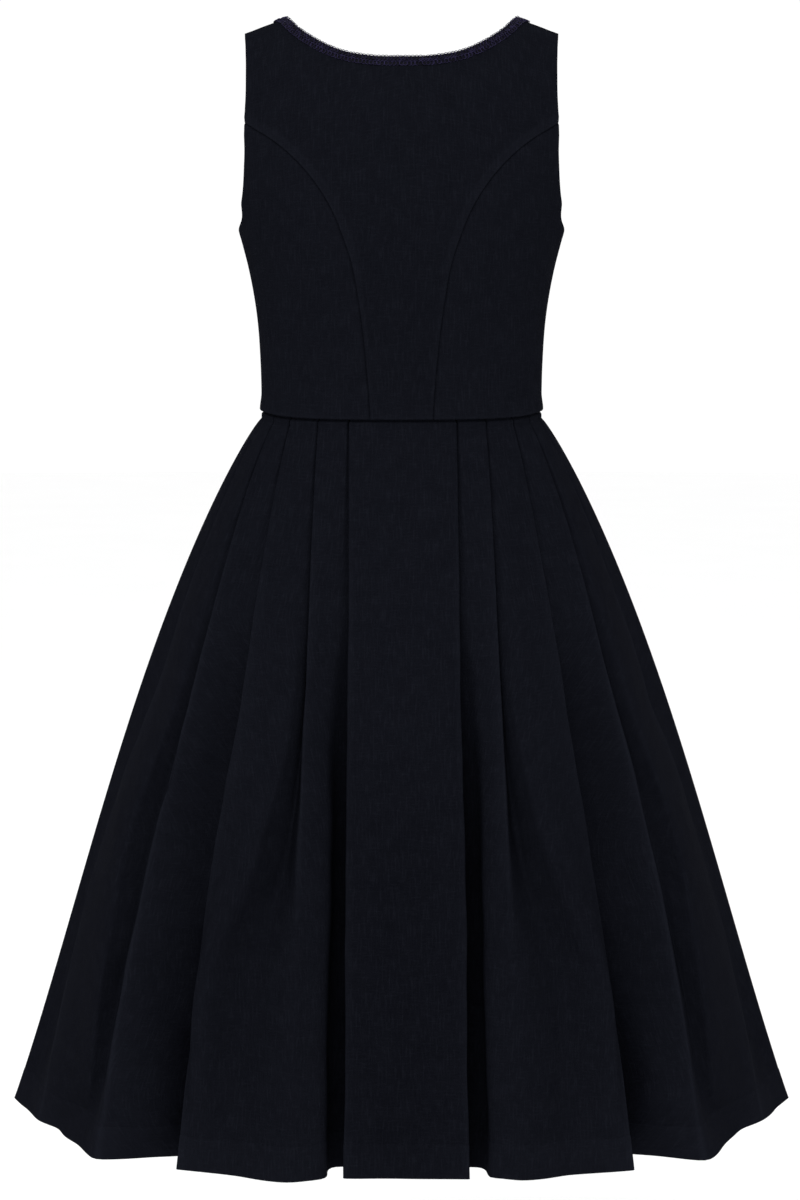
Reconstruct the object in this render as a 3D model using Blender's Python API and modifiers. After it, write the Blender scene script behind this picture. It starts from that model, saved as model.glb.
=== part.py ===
"""A dirndl: a sleeveless bodice on a pleated skirt, filled out as it is worn.

Metres, +Z up. The centre back faces -Y, the centre front +Y. The origin lies between the two
shoulder seams, at the height where the straps rest on the wearer's shoulders.
"""
from collections import namedtuple
from math import asin, pi, radians

import bmesh
import bpy
import numpy as np

# Cloth
WALL = 0.0012                   # thickness of one layer
GAP = 0.0003                    # between two pieces at a seam
SEAM_INSET = 0.00032            # from a curved seam to an edge, which leans in over its wall
SHOULDER_INSET = 0.00046        # the same from the shoulder ridge to a strap's end
SIDE_SEAM_TURN = 0.0032         # the same at a side seam, round the figure, in radians
CENTRE_FRONT_TURN = 0.00056     # half the gap where the fronts meet, in radians
WAIST_GAP = 0.0006              # between the bodice's lower edge and the skirt
TRIM_WALL = 0.0011
TRIM_WIDTH = 0.0095

# Bodice, as it is worn
NECK_HALF = 0.113               # centre to the neck end of a shoulder seam
SHOULDER_HALF = 0.1515          # centre to the armhole end of a shoulder seam
SHOULDER_SLOPE = 0.38           # fall of the shoulder for each metre outwards
RIDGE_Y = 0.008                 # the shoulder seams lie a little to the front
WAIST_DOWN = 0.3765             # at the side seams
WAIST_DIP = {-1: 0.005, 1: 0.010}   # at the middle of the back (-1) and of the front (1)
DIP_POWER = {-1: 6.0, 1: 2.0}   # higher is flatter in the middle
ROUNDNESS = 2.2                 # 2 is an ellipse, more is squarer
FIGURE_RADIUS = 0.12            # to compare distances round the figure with those down it

# Skirt
HEM_DOWN = 1.0610
SWELL = 0.42                    # how far the skirt stands out above a straight line
SWELL_RISE = 0.75
SWELL_FALL = 1.6
STAY = 0.012                    # share of its length that hangs straight from the waist seam
SEAM_FLAT = 0.004               # how far from a side seam its cloth lies straight
PLEAT_STEP = 0.0021             # from one layer of a pressed pleat to the next
TUCK_TURN = 1.55                # where a pressed pleat turns back inside, in steps
TUCK_LAYER = 2.1                # its inner layer, in steps; a little slack over two
EMERGE = 4.5                    # degrees in which a strip comes up from under the one above it
OPENS = 1.4                     # 1 opens a pleat steadily from the waist, more opens it late
FOOT_SHARE = 0.5                # a point on the way out of a valley
FOOT_BACK = 0.0012              # how far the upright side of a valley leans in
FOOT_RISE = 0.9                 # how far down into the valley it stands
BEND_LIMIT = 0.4                # how much of the cloth beside it a bend may take up
LEAN_FROM = 0.4                 # share of the length where the folds start to lean
DEGREE = 0.0021                 # one degree round the waist, in metres

# The figure inside the cloth, from the shoulder ridge down. down: below the ridge; half_width:
# centre to side; back and front: behind and before the middle; slope: how much of the shoulder
# slope is left at this level.
Level = namedtuple("Level", "name down half_width back front slope")
FIGURE = (
    Level("ridge", 0.000, 0.186, 0.000, 0.000, 1.00),
    Level("top", 0.006, 0.185, 0.027, 0.024, 1.00),
    Level("yoke", 0.026, 0.183, 0.055, 0.048, 0.96),
    Level("collarbone", 0.060, 0.180, 0.080, 0.070, 0.85),
    Level("blade", 0.108, 0.176, 0.103, 0.096, 0.55),
    Level("chest", 0.158, 0.168, 0.110, 0.117, 0.22),
    Level("underarm", 0.205, 0.1575, 0.109, 0.128, 0.00),
    Level("bust", 0.240, 0.1485, 0.106, 0.127, 0.00),
    Level("ribs", 0.286, 0.1405, 0.100, 0.113, 0.00),
    Level("midriff", 0.332, 0.1372, 0.096, 0.102, 0.00),
    Level("waist", 0.378, 0.1365, 0.095, 0.098, 0.00),
    Level("below", 0.400, 0.1370, 0.095, 0.098, 0.00),
)

# Seams and edges, as places on the figure: across from the centre and down from the shoulder
# ridge's height, in metres. The curved seams run from the waist up to the armhole.
Place = namedtuple("Place", "across down")
BACK_SEAM = (
    Place(0.0295, 0.3810), Place(0.0340, 0.3250), Place(0.0400, 0.2750), Place(0.0500, 0.2250),
    Place(0.0680, 0.1800), Place(0.0900, 0.1480), Place(0.1200, 0.1200), Place(0.1500, 0.1010),
)
FRONT_SEAM = (
    Place(0.0380, 0.3850), Place(0.0440, 0.3300), Place(0.0560, 0.2850), Place(0.0720, 0.2450),
    Place(0.0900, 0.2100), Place(0.1070, 0.1850), Place(0.1250, 0.1640), Place(0.1395, 0.1480),
)
BACK_ARMHOLE = (
    Place(0.1500, 0.1010), Place(0.1490, 0.0700), Place(0.1495, 0.0400), Place(0.1515, 0.0150),
)
FRONT_ARMHOLE = (
    Place(0.1395, 0.1480), Place(0.1370, 0.1100), Place(0.1410, 0.0600), Place(0.1515, 0.0150),
)
BACK_UNDERARM = (
    Place(0.1575, 0.2050), Place(0.1568, 0.2000), Place(0.1538, 0.1750), Place(0.1508, 0.1400),
    Place(0.1500, 0.1010),
)
FRONT_UNDERARM = (
    Place(0.1575, 0.2050), Place(0.1560, 0.1990), Place(0.1490, 0.1830), Place(0.1420, 0.1660),
    Place(0.1395, 0.1480),
)
BACK_NECK = (
    Place(0.0000, 0.0400), Place(0.0300, 0.0390), Place(0.0560, 0.0340), Place(0.0800, 0.0230),
    Place(0.1000, 0.0090), Place(0.1130, 0.0000),
)
FRONT_NECK = (
    Place(0.0000, 0.1650), Place(0.0400, 0.1600), Place(0.0720, 0.1430), Place(0.0900, 0.1150),
    Place(0.0980, 0.0750), Place(0.1040, 0.0350), Place(0.1130, 0.0000),
)

CUT = {
    "back": (BACK_SEAM, BACK_ARMHOLE, BACK_UNDERARM, BACK_NECK),
    "front": (FRONT_SEAM, FRONT_ARMHOLE, FRONT_UNDERARM, FRONT_NECK),
}
HANDS = ((False, "right"), (True, "left"))      # whether a piece is mirrored, and its name

# The skirt's folds, from the centre outwards. at: where the fold edge starts on the waist, in
# degrees round from the centre; tuck: how far its hidden fold lies back towards the centre there,
# in degrees. At the hem each fold has an edge, a valley behind or beside it, and the place where
# the cloth has come out again, all given across and outwards from the middle, with the length of
# each bend. square: from 0 to 1, how upright the cloth comes out of the valley; bow: how much of
# the skirt's swell the fold edge follows; lean: how far it leans to the side on its lower half.
Fold = namedtuple("Fold", "name at tuck edge_x edge_y edge_bend valley_x valley_y valley_bend "
                          "rise_x rise_y square bow lean")
BACK_RIGHT = (
    Fold("box", 20.3, 10, 0.0625, 0.307, 0.003, 0.047, 0.262, 0.006, 0.0800, 0.305, 0.75, 0.6, 0.0),
    Fold("first", 34, 8, 0.1090, 0.320, 0.020, 0.152, 0.293, 0.014, 0.1840, 0.285, 0.0, 0.9, 0.0),
    Fold("second", 50, 9, 0.2130, 0.278, 0.003, 0.186, 0.212, 0.007, 0.2350, 0.226, 0.0, 0.74, 0.005),
    Fold("third", 63.5, 6.5, 0.2840, 0.248, 0.016, 0.306, 0.179, 0.020, 0.3280, 0.126, 0.0, 1.1, 0.0065),
    Fold("fourth", 76, 5.5, 0.3520, 0.092, 0.016, 0.368, 0.042, 0.010, 0.3780, 0.018, 0.0, 1.0, 0.012),
)
BACK_LEFT = (
    Fold("box", 19.3, 10, 0.0530, 0.305, 0.003, 0.038, 0.262, 0.006, 0.0710, 0.303, 0.75, 0.6, 0.0),
    Fold("first", 33.5, 8, 0.1040, 0.321, 0.020, 0.150, 0.296, 0.014, 0.1800, 0.287, 0.0, 0.9, 0.0),
    Fold("second", 50, 9, 0.2070, 0.279, 0.003, 0.181, 0.214, 0.007, 0.2300, 0.228, 0.0, 0.78, 0.005),
    Fold("third", 63.5, 6.5, 0.2860, 0.247, 0.016, 0.307, 0.181, 0.020, 0.3290, 0.127, 0.0, 1.0, 0.0065),
    Fold("fourth", 77, 5.5, 0.3520, 0.094, 0.016, 0.368, 0.044, 0.010, 0.3780, 0.019, 0.0, 1.0, 0.012),
)
FRONT_RIGHT = (
    Fold("box", 21, 10, 0.0590, 0.316, 0.003, 0.044, 0.271, 0.006, 0.0765, 0.314, 0.75, 0.6, 0.0),
    Fold("first", 34, 8, 0.1080, 0.329, 0.020, 0.153, 0.303, 0.014, 0.1830, 0.295, 0.0, 0.9, 0.0),
    Fold("second", 50, 9, 0.2090, 0.288, 0.003, 0.183, 0.224, 0.007, 0.2320, 0.237, 0.0, 0.7, 0.005),
    Fold("third", 63.5, 6.5, 0.2850, 0.256, 0.016, 0.308, 0.185, 0.020, 0.3300, 0.130, 0.0, 1.1, 0.0065),
    Fold("fourth", 76.5, 5.5, 0.3510, 0.098, 0.016, 0.368, 0.046, 0.010, 0.3780, 0.019, 0.0, 1.0, 0.012),
)
FRONT_LEFT = (
    Fold("box", 20, 10, 0.0610, 0.317, 0.003, 0.046, 0.272, 0.006, 0.0785, 0.315, 0.75, 0.6, 0.0),
    Fold("first", 34, 8, 0.1110, 0.330, 0.020, 0.156, 0.303, 0.014, 0.1860, 0.294, 0.0, 0.9, 0.0),
    Fold("second", 50, 9, 0.2110, 0.286, 0.003, 0.185, 0.222, 0.007, 0.2330, 0.235, 0.0, 0.7, 0.005),
    Fold("third", 63.5, 6.5, 0.2830, 0.257, 0.016, 0.306, 0.186, 0.020, 0.3280, 0.131, 0.0, 1.1, 0.0065),
    Fold("fourth", 77, 5.5, 0.3520, 0.096, 0.016, 0.368, 0.045, 0.010, 0.3780, 0.019, 0.0, 1.0, 0.012),
)
# How each fold opens above the hem: at a share of the skirt's length, where its valley lies along
# its strip from the edge and inside it, the same for the place where the cloth has come out again,
# and its square and bends as at the hem.
Section = namedtuple("Section", "at valley_along valley_in rise_along rise_in square edge_bend "
                                "valley_bend")
OPENING = {
    "box": (Section(0.27, -0.015, 0.009, 0.009, 0.001, 0.3, 0.003, 0.003),
            Section(0.43, -0.013, 0.028, 0.019, 0.002, 0.4, 0.003, 0.006),
            Section(0.59, -0.012, 0.04, 0.018, 0.003, 0.7, 0.003, 0.007),
            Section(0.75, -0.012, 0.044, 0.0185, 0.002, 0.75, 0.003, 0.007)),
    "first": (Section(0.27, -0.01, 0.007, 0.011, 0.001, 0.0, 0.003, 0.003),
              Section(0.43, -0.008, 0.012, 0.019, 0.002, 0.0, 0.003, 0.004),
              Section(0.59, -0.002, 0.024, 0.046, 0.014, 0.0, 0.003, 0.008),
              Section(0.75, 0.02, 0.044, 0.069, 0.052, 0.0, 0.01, 0.016),
              Section(0.86, 0.026, 0.052, 0.069, 0.059, 0.0, 0.014, 0.016)),
    "second": (Section(0.27, -0.01, 0.009, 0.016, 0.002, 0.0, 0.003, 0.003),
               Section(0.43, -0.007, 0.036, 0.03, 0.014, 0.0, 0.003, 0.006),
               Section(0.59, -0.006, 0.045, 0.032, 0.016, 0.0, 0.003, 0.008),
               Section(0.75, 0.036, 0.034, 0.041, -0.012, 0.0, 0.003, 0.006),
               Section(0.86, 0.04, 0.028, 0.044, -0.01, 0.0, 0.003, 0.006)),
    "third": (Section(0.27, -0.01, 0.008, 0.011, 0.005, 0.0, 0.003, 0.003),
              Section(0.43, -0.008, 0.013, 0.014, 0.012, 0.0, 0.003, 0.004),
              Section(0.59, -0.005, 0.02, 0.024, 0.017, 0.0, 0.003, 0.006),
              Section(0.75, -0.004, 0.021, 0.021, 0.013, 0.0, 0.003, 0.007),
              Section(0.86, -0.002, 0.028, 0.015, 0.03, 0.0, 0.004, 0.009),
              Section(0.93, 0.0, 0.04, 0.012, 0.05, 0.0, 0.01, 0.014)),
    "fourth": (Section(0.27, -0.006, 0.006, 0.016, 0.003, 0.0, 0.003, 0.003),
               Section(0.43, -0.004, 0.009, 0.022, 0.005, 0.0, 0.003, 0.004),
               Section(0.59, 0.005, 0.01, 0.034, 0.008, 0.0, 0.006, 0.006),
               Section(0.75, 0.022, 0.011, 0.05, 0.011, 0.0, 0.01, 0.008)),
}
BACK_HEM_OUT = 0.3075
FRONT_HEM_OUT = 0.3165
HEM_HALF_WIDTH = 0.3840

# How finely the faceted cloth is cut
SEAM_ROWS = 8
STRAP_ROWS = 4
RELAX_STEPS = 150
SIDE_COLUMNS = 5
NECK_COLUMNS = {"back": 9, "front": 13}
SHOULDER_COLUMNS = 4
LEVEL_SHARE = 0.5               # a strap's last row, as a share of the trim's width
TURN_STEP = 0.01                # for directions on the figure, in radians
RUN_STEP = 0.001
SKIRT_LEVELS = (0.0, 0.012, 0.045, 0.10, 0.19, 0.34, 0.56, 0.78, 1.0)


def clear_scene():
    for old in list(bpy.data.objects):
        bpy.data.objects.remove(old, do_unlink=True)


def curve(stations, values):
    """A smooth curve through the values, as a function of the station."""
    x = np.asarray(stations, float)
    y = np.asarray(values, float)
    slope = np.gradient(y, x, axis=0)

    def at(t):
        t = np.clip(t, x[0], x[-1])
        i = np.clip(np.searchsorted(x, t, side="right") - 1, 0, len(x) - 2)
        h = x[i + 1] - x[i]
        u = (t - x[i]) / h
        return ((1 + 2 * u) * (1 - u) ** 2 * y[i] + u * (1 - u) ** 2 * h * slope[i]
                + u * u * (3 - 2 * u) * y[i + 1] + u * u * (u - 1) * h * slope[i + 1])

    return at


def running_length(points):
    steps = np.linalg.norm(np.diff(np.asarray(points, float), axis=0), axis=1)
    return np.concatenate(([0.0], np.cumsum(steps)))


def fractions(line):
    """How far along a line of turns and runs each of its points lies, from 0 to 1."""
    lengths = running_length(line * (FIGURE_RADIUS, 1))
    return lengths / lengths[-1]


RUNS = running_length([(row.down, (row.back + row.front) / 2) for row in FIGURE])
WAIST_RUN = RUNS[-2]


def column(name):
    values = [getattr(row, name) for row in FIGURE]
    # the cloth goes over the ridge without a corner
    sign = -1 if name in ("back", "front") else 1
    return curve(np.concatenate(([-RUNS[1]], RUNS)), [sign * values[1]] + values)


DOWN = column("down")
HALF_WIDTH = column("half_width")
BACK = column("back")
FRONT = column("front")
SLOPE = column("slope")


def on_figure(turn, run, side):
    """The point at an angle round from the centre and a run down from the ridge."""
    depth = (FRONT if side > 0 else BACK)(run)
    across = HALF_WIDTH(run) * np.sign(np.sin(turn)) * abs(np.sin(turn)) ** (2 / ROUNDNESS)
    out = depth * np.maximum(np.cos(turn), 0) ** (2 / ROUNDNESS)
    middle = RIDGE_Y * (1 - run / WAIST_RUN)
    fall = SHOULDER_SLOPE * (abs(across) - NECK_HALF) * SLOPE(run)
    return np.array((across, middle + side * out, -DOWN(run) - fall))


def place_on_figure(place):
    """The turn and run of a place given across and down."""
    runs = np.linspace(0, RUNS[-1], 400)
    fall = SHOULDER_SLOPE * (place.across - NECK_HALF) * SLOPE(runs)
    run = np.interp(place.down, DOWN(runs) + fall, runs)
    share = min(place.across / HALF_WIDTH(run), 1.0)
    return np.array((asin(share ** (ROUNDNESS / 2)), run))


def along(places, count):
    """Turn and run at even steps along the smooth line through some places."""
    marks = np.array([place_on_figure(p) for p in places])
    stations = running_length([(p.across, marks[i][1]) for i, p in enumerate(places)])
    steps = np.linspace(0, stations[-1], count)
    return np.column_stack([curve(stations, marks[:, i])(steps) for i in (0, 1)])


def waist_run(turn, side):
    dip = WAIST_DIP[side] * (1 - abs(np.sin(turn)) ** DIP_POWER[side])
    return WAIST_RUN + WAIST_DOWN - FIGURE[-2].down + dip


def between(bottom, top, inner, outer):
    """Fills four border lines with a smooth patch: rows go up, columns go across."""
    v = fractions(outer)[:, None, None]
    u = fractions(top)[None, :, None]
    corners = ((1 - v) * ((1 - u) * bottom[0] + u * bottom[-1])
               + v * ((1 - u) * top[0] + u * top[-1]))
    patch = ((1 - v) * bottom[None] + v * top[None]
             + (1 - u) * inner[:, None] + u * outer[:, None] - corners)
    return relax(patch * (FIGURE_RADIUS, 1)) / (FIGURE_RADIUS, 1)


def relax(grid):
    """Evens out the inner points of a flat grid, so that no row or column folds over."""
    for _ in range(RELAX_STEPS):
        across = (grid[1:-1, 2:] - grid[1:-1, :-2]) / 2
        upward = (grid[2:, 1:-1] - grid[:-2, 1:-1]) / 2
        twist = (grid[2:, 2:] - grid[2:, :-2] - grid[:-2, 2:] + grid[:-2, :-2]) / 4
        a = (upward ** 2).sum(axis=-1, keepdims=True)
        b = (across * upward).sum(axis=-1, keepdims=True)
        c = (across ** 2).sum(axis=-1, keepdims=True)
        grid[1:-1, 1:-1] = (a * (grid[1:-1, 2:] + grid[1:-1, :-2])
                            + c * (grid[2:, 1:-1] + grid[:-2, 1:-1])
                            - 2 * b * twist) / (2 * (a + c))
    return grid


def material(name, colour, roughness):
    made = bpy.data.materials.new(name)
    made.use_nodes = True
    shader = made.node_tree.nodes["Principled BSDF"]
    shader.inputs["Base Color"].default_value = (*colour, 1.0)
    shader.inputs["Roughness"].default_value = roughness
    shader.inputs["Metallic"].default_value = 0.0
    return made


def cloth(name, points, wall, offset, finish):
    """A sheet of cloth: a grid laid through rows of points, thickened to its wall."""
    rows, columns = points.shape[:2]
    mesh = bpy.data.meshes.new(name)
    sheet = bmesh.new()
    bmesh.ops.create_grid(sheet, x_segments=columns - 1, y_segments=rows - 1, size=0.5)
    for vertex in sheet.verts:
        i = round((vertex.co.y + 0.5) * (rows - 1))
        j = round((vertex.co.x + 0.5) * (columns - 1))
        vertex.co = points[i, j]
    sheet.to_mesh(mesh)
    sheet.free()
    mesh.shade_smooth()
    piece = bpy.data.objects.new(name, mesh)
    COLLECTION.objects.link(piece)
    piece.data.materials.append(finish)
    thicken = piece.modifiers.new("Wall", "SOLIDIFY")
    thicken.thickness = wall
    thicken.offset = offset
    thicken.use_even_offset = True
    thicken.use_quality_normals = True
    return piece


def directions(turn, run, side):
    """A place on the figure, the directions round and down it, and the way out of it."""
    here = on_figure(turn, run, side)
    over = (on_figure(turn + TURN_STEP, run, side) - here) / TURN_STEP
    down = (on_figure(turn, run + RUN_STEP, side) - here) / RUN_STEP
    out = np.cross(down, over) * -side
    return here, over, down, out / np.linalg.norm(out)


def inset(line, amount, side):
    """Moves a line of turns and runs sideways, to leave its half of a seam's gap."""
    moved = line.copy()
    for i, (turn, run) in enumerate(line):
        over = directions(turn, run, side)[1]
        moved[i, 0] += amount / np.linalg.norm(over)
    return moved


def waist_line(start, end, shares, side):
    turns = start + (end - start) * shares
    return np.column_stack((turns, waist_run(turns, side)))


def turn_on_ridge(across):
    return place_on_figure(Place(across, 0.0))[0]


def shoulder_seam(count):
    """The seam from the neck to the armhole; its second point is where the trim's edge crosses."""
    turns = np.linspace(turn_on_ridge(NECK_HALF + TRIM_WIDTH), turn_on_ridge(SHOULDER_HALF),
                        count - 1)
    turns = np.concatenate(([turn_on_ridge(NECK_HALF)], turns))
    return np.column_stack((turns, np.full(count, SHOULDER_INSET)))


def neckline(neck, count, start):
    """Half a neckline, from the centre to the shoulder seam."""
    edge = along(neck, count)
    edge[0, 0] = start
    edge[-1] = turn_on_ridge(NECK_HALF), SHOULDER_INSET
    return edge


def trim_line(edge, side):
    """The line the trim's inner edge follows on the panel, a trim's width in from the neckline."""
    line = edge[:-1].copy()
    for j, (turn, run) in enumerate(edge[:-1]):
        _, over, down, out = directions(turn, run, side)
        ahead = on_figure(*edge[j + 1], side) - on_figure(*edge[max(j - 1, 0)], side)
        inwards = np.cross(ahead, out) * -side
        inwards *= TRIM_WIDTH / np.linalg.norm(inwards)
        step = np.linalg.lstsq(np.column_stack((over, down)), inwards, rcond=None)[0]
        if j == 0:
            step[0] = 0.0
        line[j] += step
    return line


def strap_line(armhole, count):
    """The line under the shoulder seam where a strap starts to level out."""
    down = TRIM_WIDTH * LEVEL_SHARE
    marks = along(armhole, 2 * STRAP_ROWS)
    outer = np.interp(down, marks[::-1, 1], marks[::-1, 0])
    turns = np.linspace(turn_on_ridge(NECK_HALF + TRIM_WIDTH), outer, count)
    return np.column_stack((turns, np.full(count, down)))


def surface(grid, side, mirrored, height=0.0):
    """Points of a grid of turns and runs, held a height off the figure."""
    points = []
    for row in grid:
        for turn, run in row:
            here, _, _, out = directions(turn, run, side)
            points.append(here + out * height)
    points = np.array(points).reshape(*grid.shape[:2], 3)
    if mirrored:
        points[:, :, 0] *= -1
        points = points[:, ::-1]
    return points if side < 0 else points[:, ::-1]


def skirt_share(down, bow):
    """How far out, from waist to hem, the skirt stands at a share of its length."""
    hang = max(down - STAY, 0.0) / (1 - STAY)
    return hang + bow * SWELL * hang ** SWELL_RISE * (1 - hang) ** SWELL_FALL


def mix(start, end, share):
    return start + (end - start) * share


def waist_spot(degrees, layer, side):
    """A point on the waist, that many degrees round and that many layers under the outer one."""
    turn = radians(degrees)
    here = on_figure(turn, WAIST_RUN, side)[:2]
    tangent = on_figure(turn + 0.01, WAIST_RUN, side)[:2] - here
    tangent /= np.linalg.norm(tangent)
    inwards = np.array((tangent[1], -tangent[0])) * side
    return here + inwards * (WALL / 2 + layer * PLEAT_STEP)


def bend(before, corner, after, length):
    """Three points that round off a corner."""
    start = corner + (before - corner) / np.linalg.norm(before - corner) * length
    end = corner + (after - corner) / np.linalg.norm(after - corner) * length
    return [start, (start + 2 * corner + end) / 4, end]


def strip_frame(before, edge, side):
    """Directions along a strip of cloth towards its fold edge, and inwards from it."""
    ahead = (edge - before) / np.linalg.norm(edge - before)
    return np.array((ahead, np.array((ahead[1], -ahead[0])) * side))


def waist_folds(folds, side):
    """For each fold its edge on the waist, and its other points along and inside its strip."""
    before = waist_spot(folds[0].at / 2, 0, side)
    found = []
    for fold in folds:
        edge = waist_spot(fold.at, 0, side)
        frame = strip_frame(before, edge, side)
        tuck = fold.tuck * DEGREE
        half = PLEAT_STEP / 2
        emerge = waist_spot(fold.at + EMERGE, 0, side)
        found.append((edge, np.array((
            (-half, 0.0), (0.0, half), (-half, PLEAT_STEP),
            (half - tuck, PLEAT_STEP), (-tuck, TUCK_TURN * PLEAT_STEP),
            (half - tuck, TUCK_LAYER * PLEAT_STEP), (half, TUCK_LAYER * PLEAT_STEP),
            frame @ (emerge - edge)))))
        before = emerge
    return found


def box_corner(folds, side):
    """The hem at the centre, and half way from there to the box pleat's edge."""
    centre = np.array((0.0, side * (FRONT_HEM_OUT if side > 0 else BACK_HEM_OUT)))
    return centre, mix(centre, np.array((folds[0].edge_x, side * folds[0].edge_y)), 0.5)


def leaning(down):
    """How much of a fold's lean shows at a share of the skirt's length."""
    low = max(down - LEAN_FROM, 0.0) / (1 - LEAN_FROM)
    return 4 * low * (1 - low)


def hem_folds(folds, side):
    """For each fold its edge at the hem, and its opening as a function of the way down."""
    before = box_corner(folds, side)[1]
    found = []
    for fold in folds:
        edge, valley, rise = (np.array((x, side * y)) for x, y in (
            (fold.edge_x, fold.edge_y), (fold.valley_x, fold.valley_y),
            (fold.rise_x, fold.rise_y)))
        frame = strip_frame(before, edge, side)
        hem = Section(1.0, *(frame @ (valley - edge)), *(frame @ (rise - edge)), fold.square,
                      fold.edge_bend, fold.valley_bend)
        rows = np.array(OPENING[fold.name] + (hem,))
        found.append((edge, rows[0, 0], curve(rows[:, 0], rows[:, 1:])))
        before = rise
    return found


def opening_points(numbers):
    """A fold's points along and inside its strip: round its edge, its valley and out again."""
    valley, rise = numbers[:2], numbers[2:4]
    square, edge_bend, valley_bend = numbers[4:]
    upright = np.array((rise[0] - FOOT_BACK, mix(rise[1], valley[1], FOOT_RISE)))
    foot = mix(mix(valley, rise, FOOT_SHARE), upright, square)
    room = BEND_LIMIT * np.linalg.norm(valley)
    edge_bend = min(edge_bend, room)
    valley_bend = min(valley_bend, room, BEND_LIMIT * np.linalg.norm(foot - valley))
    edge = np.zeros(2)
    return np.array(bend(np.array((-1.0, 0.0)), edge, valley, edge_bend)
                    + bend(edge, valley, foot, valley_bend) + [foot, rise])


def half_skirt(folds, down, side):
    """The cloth's line in plan at a share of the way down, from the centre to the side seam."""
    waist, hem = waist_folds(folds, side), hem_folds(folds, side)
    share = skirt_share(down, folds[0].bow)
    hem_centre, hem_flat = box_corner(folds, side)
    centre = mix(waist_spot(0.0, 0, side), hem_centre, share)
    flat = mix(waist_spot(folds[0].at / 2, 0, side), hem_flat, share)
    line = [centre, flat]
    for fold, (edge_waist, near_waist), (edge_hem, opened, opening) in zip(folds, waist, hem):
        edge = mix(edge_waist, edge_hem, skirt_share(down, fold.bow))
        edge[0] += fold.lean * leaning(down)
        near = opening_points(opening(down))
        if down < opened:
            hang = max(down - STAY, 0.0) / (opened - STAY)
            near = mix(near_waist, near, hang ** OPENS)
        line += list(edge + near @ strip_frame(line[-1], edge, side))
    width = mix(HALF_WIDTH(WAIST_RUN) - WALL / 2, HEM_HALF_WIDTH, skirt_share(down, 1.0))
    line = np.array(line)
    widest = line[:, 0].max()
    if widest > width:
        # past the last fold the cloth is drawn in to the side seam
        loose = np.maximum(line[:, 0] - edge[0], 0)
        line[:, 0] -= loose * (widest - width) / (widest - edge[0])
    return np.vstack((line, (width, side * (SEAM_FLAT + GAP / 2)), (width, side * GAP / 2)))


def skirt_rows(left, right, side):
    """Rows of points of the back or the front skirt, from the hem up to the waist."""
    plans = []
    for down in SKIRT_LEVELS:
        left_line = half_skirt(left, down, side) * (-1, 1)
        plans.append(np.concatenate((left_line[:0:-1], half_skirt(right, down, side))))
    across = np.clip(abs(plans[0][:, 0]) / HALF_WIDTH(WAIST_RUN), 0, 1)
    dip = WAIST_DIP[side] * (1 - across ** (DIP_POWER[side] * ROUNDNESS / 2))
    top = -WAIST_DOWN - WAIST_GAP - dip
    points = np.array([np.column_stack((plan, mix(top, -HEM_DOWN, down)))
                       for plan, down in zip(plans, SKIRT_LEVELS)])[::-1]
    return points if side < 0 else points[:, ::-1]


def centre_grid(name, side, start):
    """Turns and runs of half a centre panel: its columns go up from the waist, the last two rows
    follow the neckline and the shoulder seam."""
    seam, armhole, _, neck = CUT[name]
    edge = neckline(neck, NECK_COLUMNS[name], start)
    band = np.vstack((trim_line(edge, side), strap_line(armhole, SHOULDER_COLUMNS)))
    curved = inset(along(seam, SEAM_ROWS), -SEAM_INSET, side)
    outer = np.vstack((curved, along(armhole, STRAP_ROWS)[1:-1], band[-1:]))
    outer[0, 1] = waist_run(outer[0, 0], side)
    bottom = waist_line(start, outer[0, 0], fractions(band), side)
    heights = mix(bottom[0, 1], band[0, 1], fractions(outer))
    inner = np.column_stack((np.full(len(outer), start), heights))
    top = np.vstack((edge[:-1], shoulder_seam(SHOULDER_COLUMNS)))
    return np.vstack((between(bottom, band, inner, outer), top[None]))


def trim_grid(grid, count):
    """Turns and runs of half a neck trim: the last two rows of the panel under it."""
    rows = grid[-2:, :count + 1].copy()
    rows[0, -1] = grid[-1, count]
    rows[1, -1] = mix(grid[-1, count - 1], grid[-1, count], 0.5)
    return rows


def side_grid(name, side):
    """Turns and runs of a side panel, from the curved seam to the side seam."""
    seam, _, underarm, _ = CUT[name]
    inner = inset(along(seam, SEAM_ROWS), SEAM_INSET, side)
    inner[0, 1] = waist_run(inner[0, 0], side)
    upper = along(underarm, SIDE_COLUMNS)[::-1]
    side_turn = pi / 2 - SIDE_SEAM_TURN
    upper[0] = inner[-1]
    upper[-1, 0] = side_turn
    lower = waist_line(inner[0, 0], side_turn, fractions(upper), side)
    outer = np.column_stack((np.full(SEAM_ROWS, side_turn),
                             np.linspace(lower[-1, 1], upper[-1, 1], SEAM_ROWS)))
    return between(lower, upper, inner, outer)


def build_back(body_cloth, side_cloth, braid):
    half = centre_grid("back", -1, 0.0)
    trim = trim_grid(half, NECK_COLUMNS["back"])
    for name, grid, height, wall, finish in (
            ("back_centre", half, 0.0, WALL, body_cloth),
            ("neck_trim_back", trim, GAP + TRIM_WALL, TRIM_WALL, braid)):
        left, right = surface(grid, -1, True, height), surface(grid, -1, False, height)
        cloth(name, np.concatenate((left[:, :-1], right), axis=1), wall, -1, finish)
    for mirrored, hand in HANDS:
        points = surface(side_grid("back", -1), -1, mirrored)
        cloth(f"back_side_{hand}", points, WALL, -1, side_cloth)


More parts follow.
